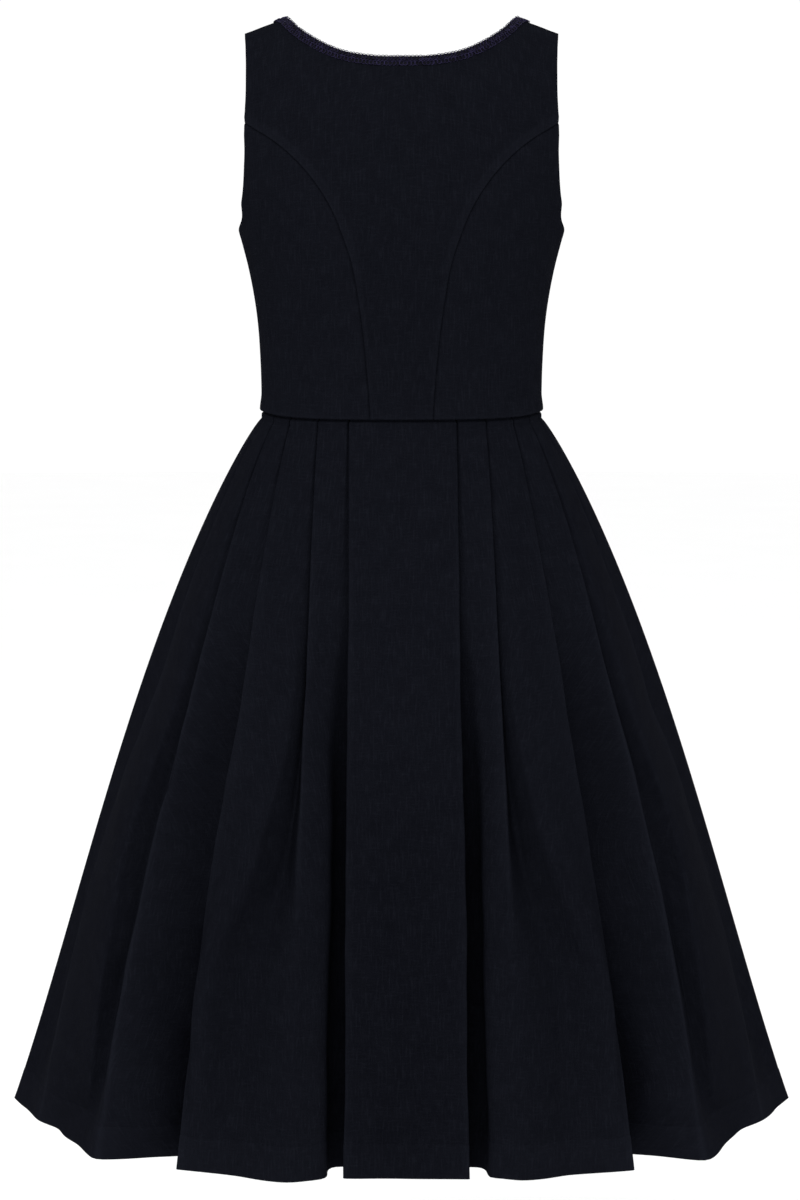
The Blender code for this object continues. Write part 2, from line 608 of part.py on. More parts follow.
def build_front(body_cloth, side_cloth, braid):
    half = centre_grid("front", 1, CENTRE_FRONT_TURN)
    trim = trim_grid(half, NECK_COLUMNS["front"])
    for mirrored, hand in HANDS:
        cloth(f"front_centre_{hand}", surface(half, 1, mirrored), WALL, -1, body_cloth)
        cloth(f"neck_trim_front_{hand}", surface(trim, 1, mirrored, GAP + TRIM_WALL),
              TRIM_WALL, -1, braid)
        points = surface(side_grid("front", 1), 1, mirrored)
        cloth(f"front_side_{hand}", points, WALL, -1, side_cloth)


def build_dress():
    body_cloth = material("bodice_cloth", (0.008, 0.009, 0.013), 0.85)
    side_cloth = material("side_cloth", (0.009, 0.010, 0.014), 0.85)
    skirt_cloth = material("skirt_cloth", (0.008, 0.009, 0.012), 0.85)
    braid = material("neck_braid", (0.012, 0.010, 0.030), 0.75)
    build_back(body_cloth, side_cloth, braid)
    build_front(body_cloth, side_cloth, braid)
    cloth("skirt_back", skirt_rows(BACK_LEFT, BACK_RIGHT, -1), WALL, 0, skirt_cloth)
    cloth("skirt_front", skirt_rows(FRONT_LEFT, FRONT_RIGHT, 1), WALL, 0, skirt_cloth)


clear_scene()
COLLECTION = bpy.data.collections.new("dirndl")
bpy.context.scene.collection.children.link(COLLECTION)
build_dress()
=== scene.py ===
# A sleeveless dirndl, seen from the back: fitted bodice with curved seams, looped braid round the
# neckline, and a flared skirt laid in a box pleat and knife pleats.
# Metres, +Z up. The centre back faces -Y.
from collections import namedtuple
from math import asin, pi, radians

import bpy
import numpy as np
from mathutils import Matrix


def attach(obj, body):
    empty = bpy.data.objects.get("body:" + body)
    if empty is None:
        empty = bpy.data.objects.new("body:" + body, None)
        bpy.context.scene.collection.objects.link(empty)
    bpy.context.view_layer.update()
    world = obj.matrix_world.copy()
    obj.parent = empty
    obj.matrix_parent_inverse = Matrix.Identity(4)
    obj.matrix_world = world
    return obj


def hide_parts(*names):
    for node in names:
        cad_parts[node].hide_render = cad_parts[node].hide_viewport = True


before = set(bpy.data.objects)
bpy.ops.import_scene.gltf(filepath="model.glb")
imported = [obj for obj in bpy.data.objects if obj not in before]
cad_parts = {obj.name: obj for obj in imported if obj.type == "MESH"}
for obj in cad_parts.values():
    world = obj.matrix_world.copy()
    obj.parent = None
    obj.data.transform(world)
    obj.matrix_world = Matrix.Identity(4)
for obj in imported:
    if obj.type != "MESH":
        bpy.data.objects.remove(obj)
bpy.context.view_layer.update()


# the shape the bodice and the waist are laid on
figure = {
    "neckHalf": 0.113,          # centre to the neck end of a shoulder seam
    "shoulderHalf": 0.1515,     # centre to its armhole end
    "shoulderSlope": 0.38,
    "ridgeY": 0.008,
    "waistDown": 0.3765,        # at the side seams
    "waistDip": {"back": 0.005, "front": 0.010},
    "dipPower": {"back": 6.0, "front": 2.0},        # higher is flatter in the middle
    "roundness": 2.2,
    "radius": 0.12,             # to compare distances round the figure with those down it
    "turnStep": 0.01, "runStep": 0.001,             # for the directions of the cloth
    "tries": 400,
}
Level = namedtuple("Level", "name down halfWidth back front slope")
levels = (
    Level("ridge", 0.000, 0.186, 0.000, 0.000, 1.00),
    Level("top", 0.006, 0.185, 0.027, 0.024, 1.00),
    Level("yoke", 0.026, 0.183, 0.055, 0.048, 0.96),
    Level("collarbone", 0.060, 0.180, 0.080, 0.070, 0.85),
    Level("blade", 0.108, 0.176, 0.103, 0.096, 0.55),
    Level("chest", 0.158, 0.168, 0.110, 0.117, 0.22),
    Level("underarm", 0.205, 0.1575, 0.109, 0.128, 0.00),
    Level("bust", 0.240, 0.1485, 0.106, 0.127, 0.00),
    Level("ribs", 0.286, 0.1405, 0.100, 0.113, 0.00),
    Level("midriff", 0.332, 0.1372, 0.096, 0.102, 0.00),
    Level("waist", 0.378, 0.1365, 0.095, 0.098, 0.00),
    Level("below", 0.400, 0.1370, 0.095, 0.098, 0.00),
)
# seams and edges: across from the centre and down from the ridge
cut = {
    "back": {
        "seam": ((0.0295, 0.3810), (0.0340, 0.3250), (0.0400, 0.2750), (0.0500, 0.2250),
                 (0.0680, 0.1800), (0.0900, 0.1480), (0.1200, 0.1200), (0.1500, 0.1010)),
        "armhole": ((0.1500, 0.1010), (0.1490, 0.0700), (0.1495, 0.0400), (0.1515, 0.0150)),
        "underarm": ((0.1575, 0.2050), (0.1568, 0.2000), (0.1538, 0.1750), (0.1508, 0.1400),
                     (0.1500, 0.1010)),
        "neck": ((0.0000, 0.0400), (0.0300, 0.0390), (0.0560, 0.0340), (0.0800, 0.0230),
                 (0.1000, 0.0090), (0.1130, 0.0000)),
    },
    "front": {
        "seam": ((0.0380, 0.3850), (0.0440, 0.3300), (0.0560, 0.2850), (0.0720, 0.2450),
                 (0.0900, 0.2100), (0.1070, 0.1850), (0.1250, 0.1640), (0.1395, 0.1480)),
        "armhole": ((0.1395, 0.1480), (0.1370, 0.1100), (0.1410, 0.0600), (0.1515, 0.0150)),
        "underarm": ((0.1575, 0.2050), (0.1560, 0.1990), (0.1490, 0.1830), (0.1420, 0.1660),
                     (0.1395, 0.1480)),
        "neck": ((0.0000, 0.1650), (0.0400, 0.1600), (0.0720, 0.1430), (0.0900, 0.1150),
                 (0.0980, 0.0750), (0.1040, 0.0350), (0.1130, 0.0000)),
    },
}


tiny = 1e-9                     # keeps a division from failing where two points meet


def mix(start, end, share):
    return start + (end - start) * share


def smooth(edge0, edge1, value):
    t = np.clip((value - edge0) / (edge1 - edge0), 0, 1)
    return t * t * (3 - 2 * t)


def curve(stations, values):
    # smooth curve through the values, as a function of the station
    x, y = np.asarray(stations, float), np.asarray(values, float)
    slope = np.gradient(y, x, axis=0)

    def at(t):
        t = np.clip(t, x[0], x[-1])
        i = np.clip(np.searchsorted(x, t, side="right") - 1, 0, len(x) - 2)
        h = x[i + 1] - x[i]
        u = (t - x[i]) / h
        return ((1 + 2 * u) * (1 - u) ** 2 * y[i] + u * (1 - u) ** 2 * h * slope[i]
                + u * u * (3 - 2 * u) * y[i + 1] + u * u * (u - 1) * h * slope[i + 1])

    return at


def runningLength(points):
    steps = np.linalg.norm(np.diff(np.asarray(points, float), axis=0), axis=1)
    return np.concatenate(([0.0], np.cumsum(steps)))


def unit(vectors):
    return vectors / np.maximum(np.linalg.norm(vectors, axis=-1, keepdims=True), tiny)


def softNoise(x, y, size, seed):
    # gentle unevenness from -1 to 1, about one hump for every size
    random = np.random.default_rng(seed)
    waves, shortest, longest = 7, 0.7, 1.6
    total = 0
    for heading, phase in zip(random.uniform(0, pi, waves), random.uniform(0, 2 * pi, waves)):
        reach = size * random.uniform(shortest, longest)
        total = total + np.cos((x * np.cos(heading) + y * np.sin(heading)) * 2 * pi / reach
                               + phase)
    return total / 4


runs = runningLength([(row.down, (row.back + row.front) / 2) for row in levels])
waistRun = runs[-2]


def column(name):
    values = [getattr(row, name) for row in levels]
    sign = -1 if name in ("back", "front") else 1       # the cloth goes over the ridge evenly
    return curve(np.concatenate(([-runs[1]], runs)), [sign * values[1]] + values)


downAt, halfWidthAt, slopeAt = column("down"), column("halfWidth"), column("slope")
depthAt = {"back": column("back"), "front": column("front")}
facing = {"back": -1, "front": 1}


def onFigure(turn, run, part):
    # the point at an angle round from the centre and a run down from the ridge
    power = 2 / figure["roundness"]
    across = halfWidthAt(run) * np.sign(np.sin(turn)) * abs(np.sin(turn)) ** power
    out = depthAt[part](run) * np.maximum(np.cos(turn), 0) ** power
    middle = figure["ridgeY"] * (1 - run / waistRun)
    fall = figure["shoulderSlope"] * (abs(across) - figure["neckHalf"]) * slopeAt(run)
    return np.stack((across, middle + facing[part] * out, -downAt(run) - fall), axis=-1)


def directions(turn, run, part):
    here = onFigure(turn, run, part)
    turnStep, runStep = figure["turnStep"], figure["runStep"]
    over = (onFigure(turn + turnStep, run, part) - here) / turnStep
    down = (onFigure(turn, run + runStep, part) - here) / runStep
    out = np.cross(down, over) * -facing[part]
    return here, over, down, unit(out)


def placeOnFigure(across, down):
    tries = np.linspace(0, runs[-1], figure["tries"])
    fall = figure["shoulderSlope"] * (across - figure["neckHalf"]) * slopeAt(tries)
    run = np.interp(down, downAt(tries) + fall, tries)
    share = min(across / halfWidthAt(run), 1.0)
    return np.array((asin(share ** (figure["roundness"] / 2)), run))


def along(places, count):
    marks = np.array([placeOnFigure(*p) for p in places])
    stations = runningLength([(p[0], m[1]) for p, m in zip(places, marks)])
    steps = np.linspace(0, stations[-1], count)
    return np.column_stack([curve(stations, marks[:, i])(steps) for i in (0, 1)])


def fractions(line):
    lengths = runningLength(line * (figure["radius"], 1))
    return lengths / lengths[-1]


def waistRunAt(turn, part):
    dip, power = figure["waistDip"][part], figure["dipPower"][part]
    return (waistRun + figure["waistDown"] - levels[-2].down
            + dip * (1 - abs(np.sin(turn)) ** power))


def between(bottom, top, inner, outer, steps=2500):
    # fills four border lines with a smooth patch: rows go up, columns go across
    v = fractions(outer)[:, None, None]
    u = fractions(top)[None, :, None]
    corners = ((1 - v) * ((1 - u) * bottom[0] + u * bottom[-1])
               + v * ((1 - u) * top[0] + u * top[-1]))
    grid = ((1 - v) * bottom[None] + v * top[None]
            + (1 - u) * inner[:, None] + u * outer[:, None] - corners)
    grid = grid * (figure["radius"], 1)
    for _ in range(steps):      # evens out the inner points, so that nothing folds over
        across = (grid[1:-1, 2:] - grid[1:-1, :-2]) / 2
        upward = (grid[2:, 1:-1] - grid[:-2, 1:-1]) / 2
        twist = (grid[2:, 2:] - grid[2:, :-2] - grid[:-2, 2:] + grid[:-2, :-2]) / 4
        a = (upward ** 2).sum(axis=-1, keepdims=True)
        b = (across * upward).sum(axis=-1, keepdims=True)
        c = (across ** 2).sum(axis=-1, keepdims=True)
        grid[1:-1, 1:-1] = (a * (grid[1:-1, 2:] + grid[1:-1, :-2])
                            + c * (grid[2:, 1:-1] + grid[:-2, 1:-1])
                            - 2 * b * twist) / (2 * (a + c))
    return grid / (figure["radius"], 1)


def resample(grid, columns=None, rows=None):
    # picks new rows and columns, given as places between the old ones
    for axis, places in ((1, columns), (0, rows)):
        if places is None:
            continue
        places = np.clip(np.asarray(places, float), 0, grid.shape[axis] - 1)
        low = np.minimum(places.astype(int), grid.shape[axis] - 2)
        share = (places - low).reshape((-1, 1, 1) if axis == 0 else (1, -1, 1))
        grid = mix(np.take(grid, low, axis=axis), np.take(grid, low + 1, axis=axis), share)
    return grid


def nearTo(points, line):
    # distance of every point from a line of points
    flat = points.reshape(-1, 3)
    best = np.full(len(flat), np.inf)
    for a, b in zip(line[:-1], line[1:]):
        step = b - a
        t = np.clip((flat - a) @ step / max(step @ step, tiny ** 2), 0, 1)
        best = np.minimum(best, np.linalg.norm(flat - a - t[:, None] * step, axis=1))
    return best.reshape(points.shape[:2])


# ways of making pieces
dress = bpy.data.collections.new("dirndl")
bpy.context.scene.collection.children.link(dress)


def addObject(name, mesh, finish=None):
    piece = bpy.data.objects.new(name, mesh)
    dress.objects.link(piece)
    if finish:
        mesh.materials.append(finish)
    return piece


def makeCloth(name, points, grain, paintedLight, finish, wall, offset):
    # a sheet through rows of points, seen from outside: rows go up and columns go right
    rows, columns = points.shape[:2]
    number = np.arange(rows * columns).reshape(rows, columns)
    faces = np.stack((number[:-1, :-1], number[:-1, 1:], number[1:, 1:], number[1:, :-1]),
                     axis=-1).reshape(-1, 4)
    mesh = bpy.data.meshes.new(name)
    mesh.from_pydata(points.reshape(-1, 3).tolist(), [], faces.tolist())
    layer = mesh.uv_layers.new(name="grain")
    layer.data.foreach_set("uv", grain.reshape(-1, 2)[faces.ravel()].ravel())
    # the paintedLight attribute holds painted highlights and painted shade for the cloth's colour
    worn = mesh.attributes.new("paintedLight", "FLOAT", "POINT")
    worn.data.foreach_set("value", paintedLight.ravel())
    mesh.shade_smooth()
    piece = addObject(name, mesh, finish)
    thicken = piece.modifiers.new("wall", "SOLIDIFY")
    thicken.thickness = wall
    thicken.offset = offset
    thicken.use_even_offset = False
    thicken.use_quality_normals = True
    return piece


def addNode(tree, kind, settings, sockets):
    # a node with its settings, and the values or links of its sockets
    node = tree.nodes.new(kind)
    for key, value in (settings or {}).items():
        setattr(node, key, value)
    for key, value in (sockets or {}).items():
        if isinstance(value, bpy.types.NodeSocket):
            tree.links.new(value, node.inputs[key])
        else:
            node.inputs[key].default_value = value
    return node


class Wire:
    # a shader socket that can stand in a sum
    def __init__(self, recipe, socket):
        self.recipe, self.socket = recipe, socket

    def maths(self, operation, *values):
        return self.recipe.add("ShaderNodeMath", {"operation": operation},
                               dict(enumerate((self, *values))))

    def __add__(self, other):
        return self.maths("ADD", other)

    def __sub__(self, other):
        return self.maths("SUBTRACT", other)

    def __mul__(self, other):
        return self.maths("MULTIPLY", other)

    def __truediv__(self, other):
        return self.maths("DIVIDE", other)

    def __rsub__(self, other):
        return (self * -1.0) + other

    __radd__ = __add__
    __rmul__ = __mul__


class Recipe:
    # the nodes of one material
    def __init__(self, name):
        self.material = bpy.data.materials.new(name)
        self.material.use_nodes = True
        self.tree = self.material.node_tree
        self.tree.nodes.clear()

    def add(self, kind, settings=None, sockets=None, output=0):
        plain = {key: value.socket if isinstance(value, Wire) else value
                 for key, value in (sockets or {}).items()}
        node = addNode(self.tree, kind, settings, plain)
        if isinstance(output, tuple):
            return [Wire(self, node.outputs[i]) for i in output]
        return Wire(self, node.outputs[output]) if output is not None else None

    def step(self, value, low, high):
        return self.add("ShaderNodeMapRange", {"interpolation_type": "SMOOTHSTEP"},
                        {"Value": value, "From Min": low, "From Max": high})

    def noise(self, across, up, width, height, detail=2.0):
        # unevenness in patches of a width and a height, in metres
        spot = self.add("ShaderNodeCombineXYZ", None, {"X": across / width, "Y": up / height})
        return self.add("ShaderNodeTexNoise", None,
                        {"Vector": spot, "Scale": 1.0, "Detail": detail, "Roughness": 0.55})

    def tint(self, dark, light, share):
        # sockets 6 and 7 and result 2 are the mix node's colours
        return self.add("ShaderNodeMix", {"data_type": "RGBA"},
                        {0: share, 6: (*dark, 1), 7: (*light, 1)}, 2)

    def finish(self, colour, roughness, height, depth, fixed):
        bump = self.add("ShaderNodeBump", None,
                        {"Height": height, "Distance": depth, "Strength": 1.0})
        surface = self.add("ShaderNodeBsdfPrincipled", None,
                           {"Base Color": colour, "Roughness": roughness, "Normal": bump, **fixed})
        self.add("ShaderNodeOutputMaterial", None, {"Surface": surface}, None)
        return self.material


weave = {
    "thread": 0.00052,          # from thread to thread
    "dark": (0.0016, 0.0017, 0.0028),
    "light": (0.0094, 0.0104, 0.0151),
    "slub": (0.0110, 0.0017),   # length and thickness of a thick place in a thread
    "patch": 0.019, "speck": 0.0016, "hangingLonger": 1.5,
    "aside": {"hanging": 0.37, "worn": 0.21},       # so that no two patterns lie alike
    "bumpDepth": 0.00022,
    "crest": 0.45,              # how much a thread sinks where it goes under the next one
    "matt": 0.90, "glossier": {"lying": 0.08, "hanging": 0.05},
    "fixed": {"Specular IOR Level": 0.0015},
    "base": 0.38,               # how pale the cloth is, and what each unevenness adds to it
    # paler['paintedLight'] is how much the painted highlights and painted shade add to the colour
    "paler": {"worn": 0.24, "lying": 0.15, "hanging": 0.22, "fine": 0.26, "threads": 0.16,
              "paintedLight": 0.20},
    "higher": {"threads": 0.45, "lying": 0.5, "hanging": 0.35, "fine": 0.25},
    "lyingEdge": (0.48, 0.76), "hangingEdge": (0.46, 0.76),
}


def blackCloth(name, shift, shade):
    # matt black plain weave with thick places in its threads, both ways
    recipe = Recipe(name)
    grain = recipe.add("ShaderNodeUVMap", {"uv_map": "grain"})
    across, up = recipe.add("ShaderNodeSeparateXYZ", None, {"Vector": grain}, (0, 1))
    across = across + shift
    threadX, threadY = across / weave["thread"], up / weave["thread"]
    warp = (threadX.maths("FRACT") * pi).maths("SINE")
    weft = (threadY.maths("FRACT") * pi).maths("SINE")
    over = (threadX.maths("FLOOR") + threadY.maths("FLOOR")).maths("FLOORED_MODULO", 2.0)
    crest = weave["crest"]
    threads = (over * warp * (1 - crest + crest * weft)
               + (1 - over) * weft * (1 - crest + crest * warp))
    long, thin = weave["slub"]
    lying = recipe.step(recipe.noise(across, up, long, thin), *weave["lyingEdge"])
    hanging = recipe.step(recipe.noise(across + weave["aside"]["hanging"], up, thin,
                                       long * weave["hangingLonger"]), *weave["hangingEdge"])
    worn = recipe.noise(across, up + weave["aside"]["worn"], weave["patch"], weave["patch"],
                        detail=3.0)
    fine = recipe.noise(across, up, weave["speck"], weave["speck"], detail=1.0)
    # painted light: the paintedLight attribute makes painted highlights paler and painted shade
    # darker
    paintedLight = recipe.add("ShaderNodeAttribute", {"attribute_name": "paintedLight"}, None, 2)
    paler, higher = weave["paler"], weave["higher"]
    share = (weave["base"] * shade + (worn - 0.5) * paler["worn"] + lying * paler["lying"]
             + hanging * paler["hanging"] + (fine - 0.5) * paler["fine"]
             + (threads - 0.5) * paler["threads"] + paintedLight * paler["paintedLight"])
    colour = recipe.tint(weave["dark"], weave["light"], share)
    roughness = (weave["matt"] - lying * weave["glossier"]["lying"]
                 - hanging * weave["glossier"]["hanging"])
    height = (threads * higher["threads"] + lying * higher["lying"]
              + hanging * higher["hanging"] + fine * higher["fine"])
    return recipe.finish(colour, roughness, height, weave["bumpDepth"], weave["fixed"])


braid = {
    "dark": (0.0018, 0.0017, 0.0040),
    "light": (0.0235, 0.0195, 0.0560),
    "strands": {"Scale": 1 / 0.0018, "Detail": 2.0},
    "patches": {"Scale": 270.0, "Detail": 1.0},
    "paler": {"shade": 0.5, "patches": 1.7, "strands": 0.5},
    "roughness": (0.52, 0.15),  # at the least, and what the strands add
    "bumpDepth": 0.0001,
    "fixed": {"Specular IOR Level": 0.05},
}


def braidThread(name, shade):
    # silky violet thread, spun from finer strands
    recipe = Recipe(name)
    place = recipe.add("ShaderNodeTexCoord", None, None, 3)
    strands, patches = (recipe.add("ShaderNodeTexNoise", None, {"Vector": place, **braid[kind]})
                        for kind in ("strands", "patches"))
    paler = braid["paler"]
    share = (shade * paler["shade"] + (patches - 0.5) * paler["patches"]
             + (strands - 0.5) * paler["strands"])
    colour = recipe.tint(braid["dark"], braid["light"], share)
    least, added = braid["roughness"]
    return recipe.finish(colour, least + strands * added, strands, braid["bumpDepth"],
                         braid["fixed"])


finishes = {
    "centre": blackCloth("bodiceCloth", 0.0, 0.96),
    "side": blackCloth("sideCloth", 0.113, 1.02),
    "skirt": blackCloth("skirtCloth", 0.291, 0.96),
    "tape": braidThread("braidGround", -0.35),
    "cord": braidThread("braidCord", 0.55),
    "loops": braidThread("braidLoops", 1.2),
    "thread": blackCloth("sewingThread", 0.5, 1.3),
}
print("finishes made")


# the bodice: lines on the figure, and panels between them
bodice = {
    "wall": 0.0009,
    "seamRows": 64, "strapRows": 22, "neckColumns": {"back": 36, "front": 50},
    "shoulderColumns": 13, "sideColumns": 42, "armholeSteps": 300, "roundSteps": 17,
    "shoulderInset": 0.00006, "centreFrontTurn": 0.00012,
    "trimWidth": 0.0095,
    "levelDown": 0.00475,       # under the shoulder seam, where a strap levels out
    "allowance": (0.0032, 0.0085),      # width of the pressed seam allowance, waist and top
    "allowanceHeight": 0.00045,
    "tuckUnder": 0.0012, "tuckDepth": 0.00115,
    "edgeRoll": 0.0009, "edgeDrop": 0.0006,
    "facing": 0.0065, "facingHeight": 0.00016, "facingEdge": 0.0008,
    "overhang": 0.0006, "overhangFrom": 0.012,
    "overhangOut": 0.0016, "overhangOutFrom": (0.001, 0.016),
    "seamInset": 0.00004,
    "waves": ((0.00045, 0.085, 0), (0.00018, 0.03, 20)),    # height, size, seed added
    "waveSeed": {"back": 11, "front": 12}, "waveCalm": 0.03,
    "seamDrop": (0.0007, 0.0011), "sideDrop": (0.0004, 0.0014),     # depth and width
    "pucker": {"centre": (0.00016, 0.011, 0.006, 31), "side": (0.00018, 0.010, 0.007, 32)},
    # ridgeHighlight and underShade: strength of the painted highlight on the seam allowance's
    # ridge and of the painted shade under the side tuck; highlightFade: how the painted highlights
    # weaken towards the waist
    "ridgeEdge": 0.0007, "allowanceRise": 0.22, "underEdge": (-0.0002, 0.0024),
    "ridgeHighlight": 0.55, "underShade": 0.9, "highlightFade": (0.35, (0.05, 0.25)),   # towards the waist
    # painted highlight lines: strength, distance from the edge, width
    "seamHighlight": (0.5, 0.0012, 0.0009), "edgeHighlight": (0.6, 0, 0.0015),
    "waistHighlight": (0.5, 0.0015, 0.0015),
}
trimShares = (0, 0.3, 0.6, 0.85, 1.0)   # rows across the trim, from its inner line to the neck
fineSteps = (0, 0.07, 0.16, 0.30, 0.48, 0.72, 1.0, 1.45)


def fineAt(count, start=True):
    # row or column numbers, with closer ones near the edges
    fine = np.array(fineSteps)
    places = np.arange(2 if start else 0, count - 2)
    return np.concatenate((fine if start else [], places, count - 1 - fine[::-1]))


def ridgeTurn(across):
    return placeOnFigure(across, 0.0)[0]


def shifted(line, amount, part):
    # moves a line on the figure sideways: one that goes up moves out, one that goes out moves down
    here, over, down, out = directions(line[:, 0], line[:, 1], part)
    aside = np.cross(np.gradient(here, axis=0), out) * -facing[part]
    aside *= amount / np.linalg.norm(aside, axis=1, keepdims=True)
    across2, down2, both = (over ** 2).sum(1), (down ** 2).sum(1), (over * down).sum(1)
    asideOver, asideDown = (aside * over).sum(1), (aside * down).sum(1)
    size = across2 * down2 - both ** 2
    return line + np.column_stack(((asideOver * down2 - asideDown * both) / size,
                                   (asideDown * across2 - asideOver * both) / size))


def even(line, count):
    lengths = fractions(line)
    steps = np.linspace(0, 1, count)
    return np.column_stack([np.interp(steps, lengths, line[:, i]) for i in (0, 1)])


def waistLine(start, end, shares, part):
    turns = start + (end - start) * shares
    return np.column_stack((turns, waistRunAt(turns, part)))


def centreGrid(part, start):
    # half a centre panel: its last five rows go from the trim's edge to the neck and shoulder
    shape, inset, levelDown = cut[part], bodice["shoulderInset"], bodice["levelDown"]
    count, shoulderCount = bodice["neckColumns"][part], bodice["shoulderColumns"]
    edge = along(shape["neck"], count)
    edge[0, 0] = start
    edge[-1] = ridgeTurn(figure["neckHalf"]), inset
    trimTurn = ridgeTurn(figure["neckHalf"] + bodice["trimWidth"])
    armhole = along(shape["armhole"], bodice["armholeSteps"])
    armholeTurn = np.interp(levelDown, armhole[::-1, 1], armhole[::-1, 0])
    strap = np.column_stack((np.linspace(trimTurn, armholeTurn, shoulderCount),
                             np.full(shoulderCount, levelDown)))
    band = np.vstack((shifted(edge, bodice["trimWidth"], part)[:-1], strap))
    band[0, 0] = start
    armhole = even(np.vstack((armhole[armhole[:, 1] > levelDown], strap[-1:])),
                   bodice["strapRows"])
    seam = shifted(along(shape["seam"], bodice["seamRows"]), -bodice["seamInset"], part)
    outer = np.vstack((seam, armhole[1:]))
    outer[0, 1] = waistRunAt(outer[0, 0], part)
    bottom = waistLine(start, outer[0, 0], fractions(band), part)
    heights = mix(bottom[0, 1], band[0, 1], fractions(outer))
    inner = np.column_stack((np.full(len(outer), start), heights))
    shoulder = np.column_stack((np.linspace(trimTurn, ridgeTurn(figure["shoulderHalf"]),
                                            shoulderCount - 1),
                                np.full(shoulderCount - 1, inset)))
    top = np.vstack((edge, shoulder))
    patch = between(bottom, band, inner, outer)
    ends = np.array([mix(band, top, share) for share in trimShares[1:]])
    return np.concatenate((patch, ends)), seam, armhole


def sideGrid(part):
    # a side panel, from under the curved seam to the side seam
    shape, rows = cut[part], bodice["seamRows"]
    seam = along(shape["seam"], rows)
    inner = shifted(seam, -bodice["tuckUnder"], part)
    inner[0, 1] = waistRunAt(inner[0, 0], part)
    upper = along(shape["underarm"], bodice["sideColumns"])[::-1]
    sideTurn = pi / 2
    upper[0] = inner[-1]
    upper[-1, 0] = sideTurn
    lower = waistLine(inner[0, 0], sideTurn, fractions(upper), part)
    outer = np.column_stack((np.full(rows, sideTurn),
                             np.linspace(lower[-1, 1], upper[-1, 1], rows)))
    return between(lower, upper, inner, outer), seam, upper


def roundFigure(grid, part):
    # length of cloth from the centre, round the figure
    shares = np.linspace(0, 1, bodice["roundSteps"])
    line = onFigure(grid[..., :1] * shares, grid[..., 1:] * np.ones(len(shares)), part)
    return np.linalg.norm(np.diff(line, axis=-2), axis=-1).sum(axis=-1)


def edgeShape(distance, roll=1.0):
    # the turned edge of a piece: it drops away over its last bit, above a faint facing
    drop = 1 - smooth(0, bodice["edgeRoll"], distance)
    facing, soft = bodice["facing"], bodice["facingEdge"]
    faced = 1 - smooth(facing - soft, facing + soft, distance)
    return faced * bodice["facingHeight"] - drop * bodice["edgeDrop"] * roll


def paleLine(edge, distance):
    # a painted highlight line at a distance from an edge
    strength, place, width = bodice[edge]
    return strength * np.exp(-((distance - place) / width) ** 2)


def waistEdge(heights, part, grid):
    # the lower edge of the bodice stands off the skirt and hangs over its seam, with a painted
    # highlight line along it
    above = waistRunAt(grid[..., 0], part) - grid[..., 1]
    heights += bodice["overhangOut"] * (1 - smooth(*bodice["overhangOutFrom"], above))
    heights -= bodice["edgeDrop"] * (1 - smooth(0, bodice["edgeRoll"], above))
    lower = bodice["overhang"] * (1 - smooth(0, bodice["overhangFrom"], above))
    return lower, paleLine("waistHighlight", above)


def layOut(grid, part, heights, lower, paintedLight, mirrored):
    # points of a panel held off the figure, and their place in the weave
    here, _, _, out = directions(grid[..., 0], grid[..., 1], part)
    points = here + out * heights[..., None]
    points[..., 2] -= lower
    grain = np.stack((roundFigure(grid, part) * -facing[part], -grid[..., 1]), axis=-1)
    if mirrored:
        points = points * (-1, 1, 1)
        grain = grain * (-1, 1)
    if mirrored != (part == "front"):
        points, grain, paintedLight = points[:, ::-1], grain[:, ::-1], paintedLight[:, ::-1]
    return points, grain, paintedLight


def uneven(grid, part):
    u, v, seed = roundFigure(grid, part), grid[..., 1], bodice["waveSeed"][part]
    fade = smooth(0, bodice["waveCalm"], (pi / 2 - grid[..., 0]) * figure["radius"])
    return fade * sum(height * softNoise(u, v, size, seed + more)
                      for height, size, more in bodice["waves"])


def puckered(place, grid, fromSeam):
    # small waves along a seam, fading away from it
    height, size, reach, seed = bodice["pucker"][place]
    return (height * softNoise(grid[..., 1], grid[..., 1] * 0, size, seed)
            * np.exp(-fromSeam / reach))


def dropped(edge, distance):
    depth, width = bodice[edge]
    return depth * (1 - smooth(0, width, distance))


def centrePanel(part, start):
    grid, seam, armhole = centreGrid(part, start)
    count, trimBand = grid.shape[1], grid[-len(trimShares):]
    rows = np.concatenate((fineSteps, np.arange(2, grid.shape[0])))
    grid = resample(grid, fineAt(count, start=part == "front"), rows)
    flat = onFigure(grid[..., 0], grid[..., 1], part)
    seamLine, armholeLine = (onFigure(line[:, 0], line[:, 1], part) for line in (seam, armhole))
    fromSeam, fromArmhole = nearTo(flat, seamLine), nearTo(flat, armholeLine)
    low, high = bodice["allowance"]
    width = mix(low, high, smooth(0, bodice["allowanceRise"], waistRun - grid[..., 1]))
    ridge = 1 - smooth(-bodice["ridgeEdge"], bodice["ridgeEdge"], fromSeam - width)
    heights = (uneven(grid, part) + ridge * bodice["allowanceHeight"]
               - dropped("seamDrop", fromSeam) + puckered("centre", grid, fromSeam)
               + edgeShape(fromArmhole))
    lower, paintedLight = waistEdge(heights, part, grid)
    # painted highlights on the pressed ridge and beside the seam, weaker towards the waist, and
    # along the armhole edge
    least, rise = bodice["highlightFade"]
    worn = mix(least, 1, smooth(*rise, waistRunAt(grid[..., 0], part) - grid[..., 1]))
    paintedLight += worn * (ridge * bodice["ridgeHighlight"] + paleLine("seamHighlight", fromSeam))
    paintedLight += paleLine("edgeHighlight", fromArmhole)
    return grid, heights, lower, paintedLight, trimBand


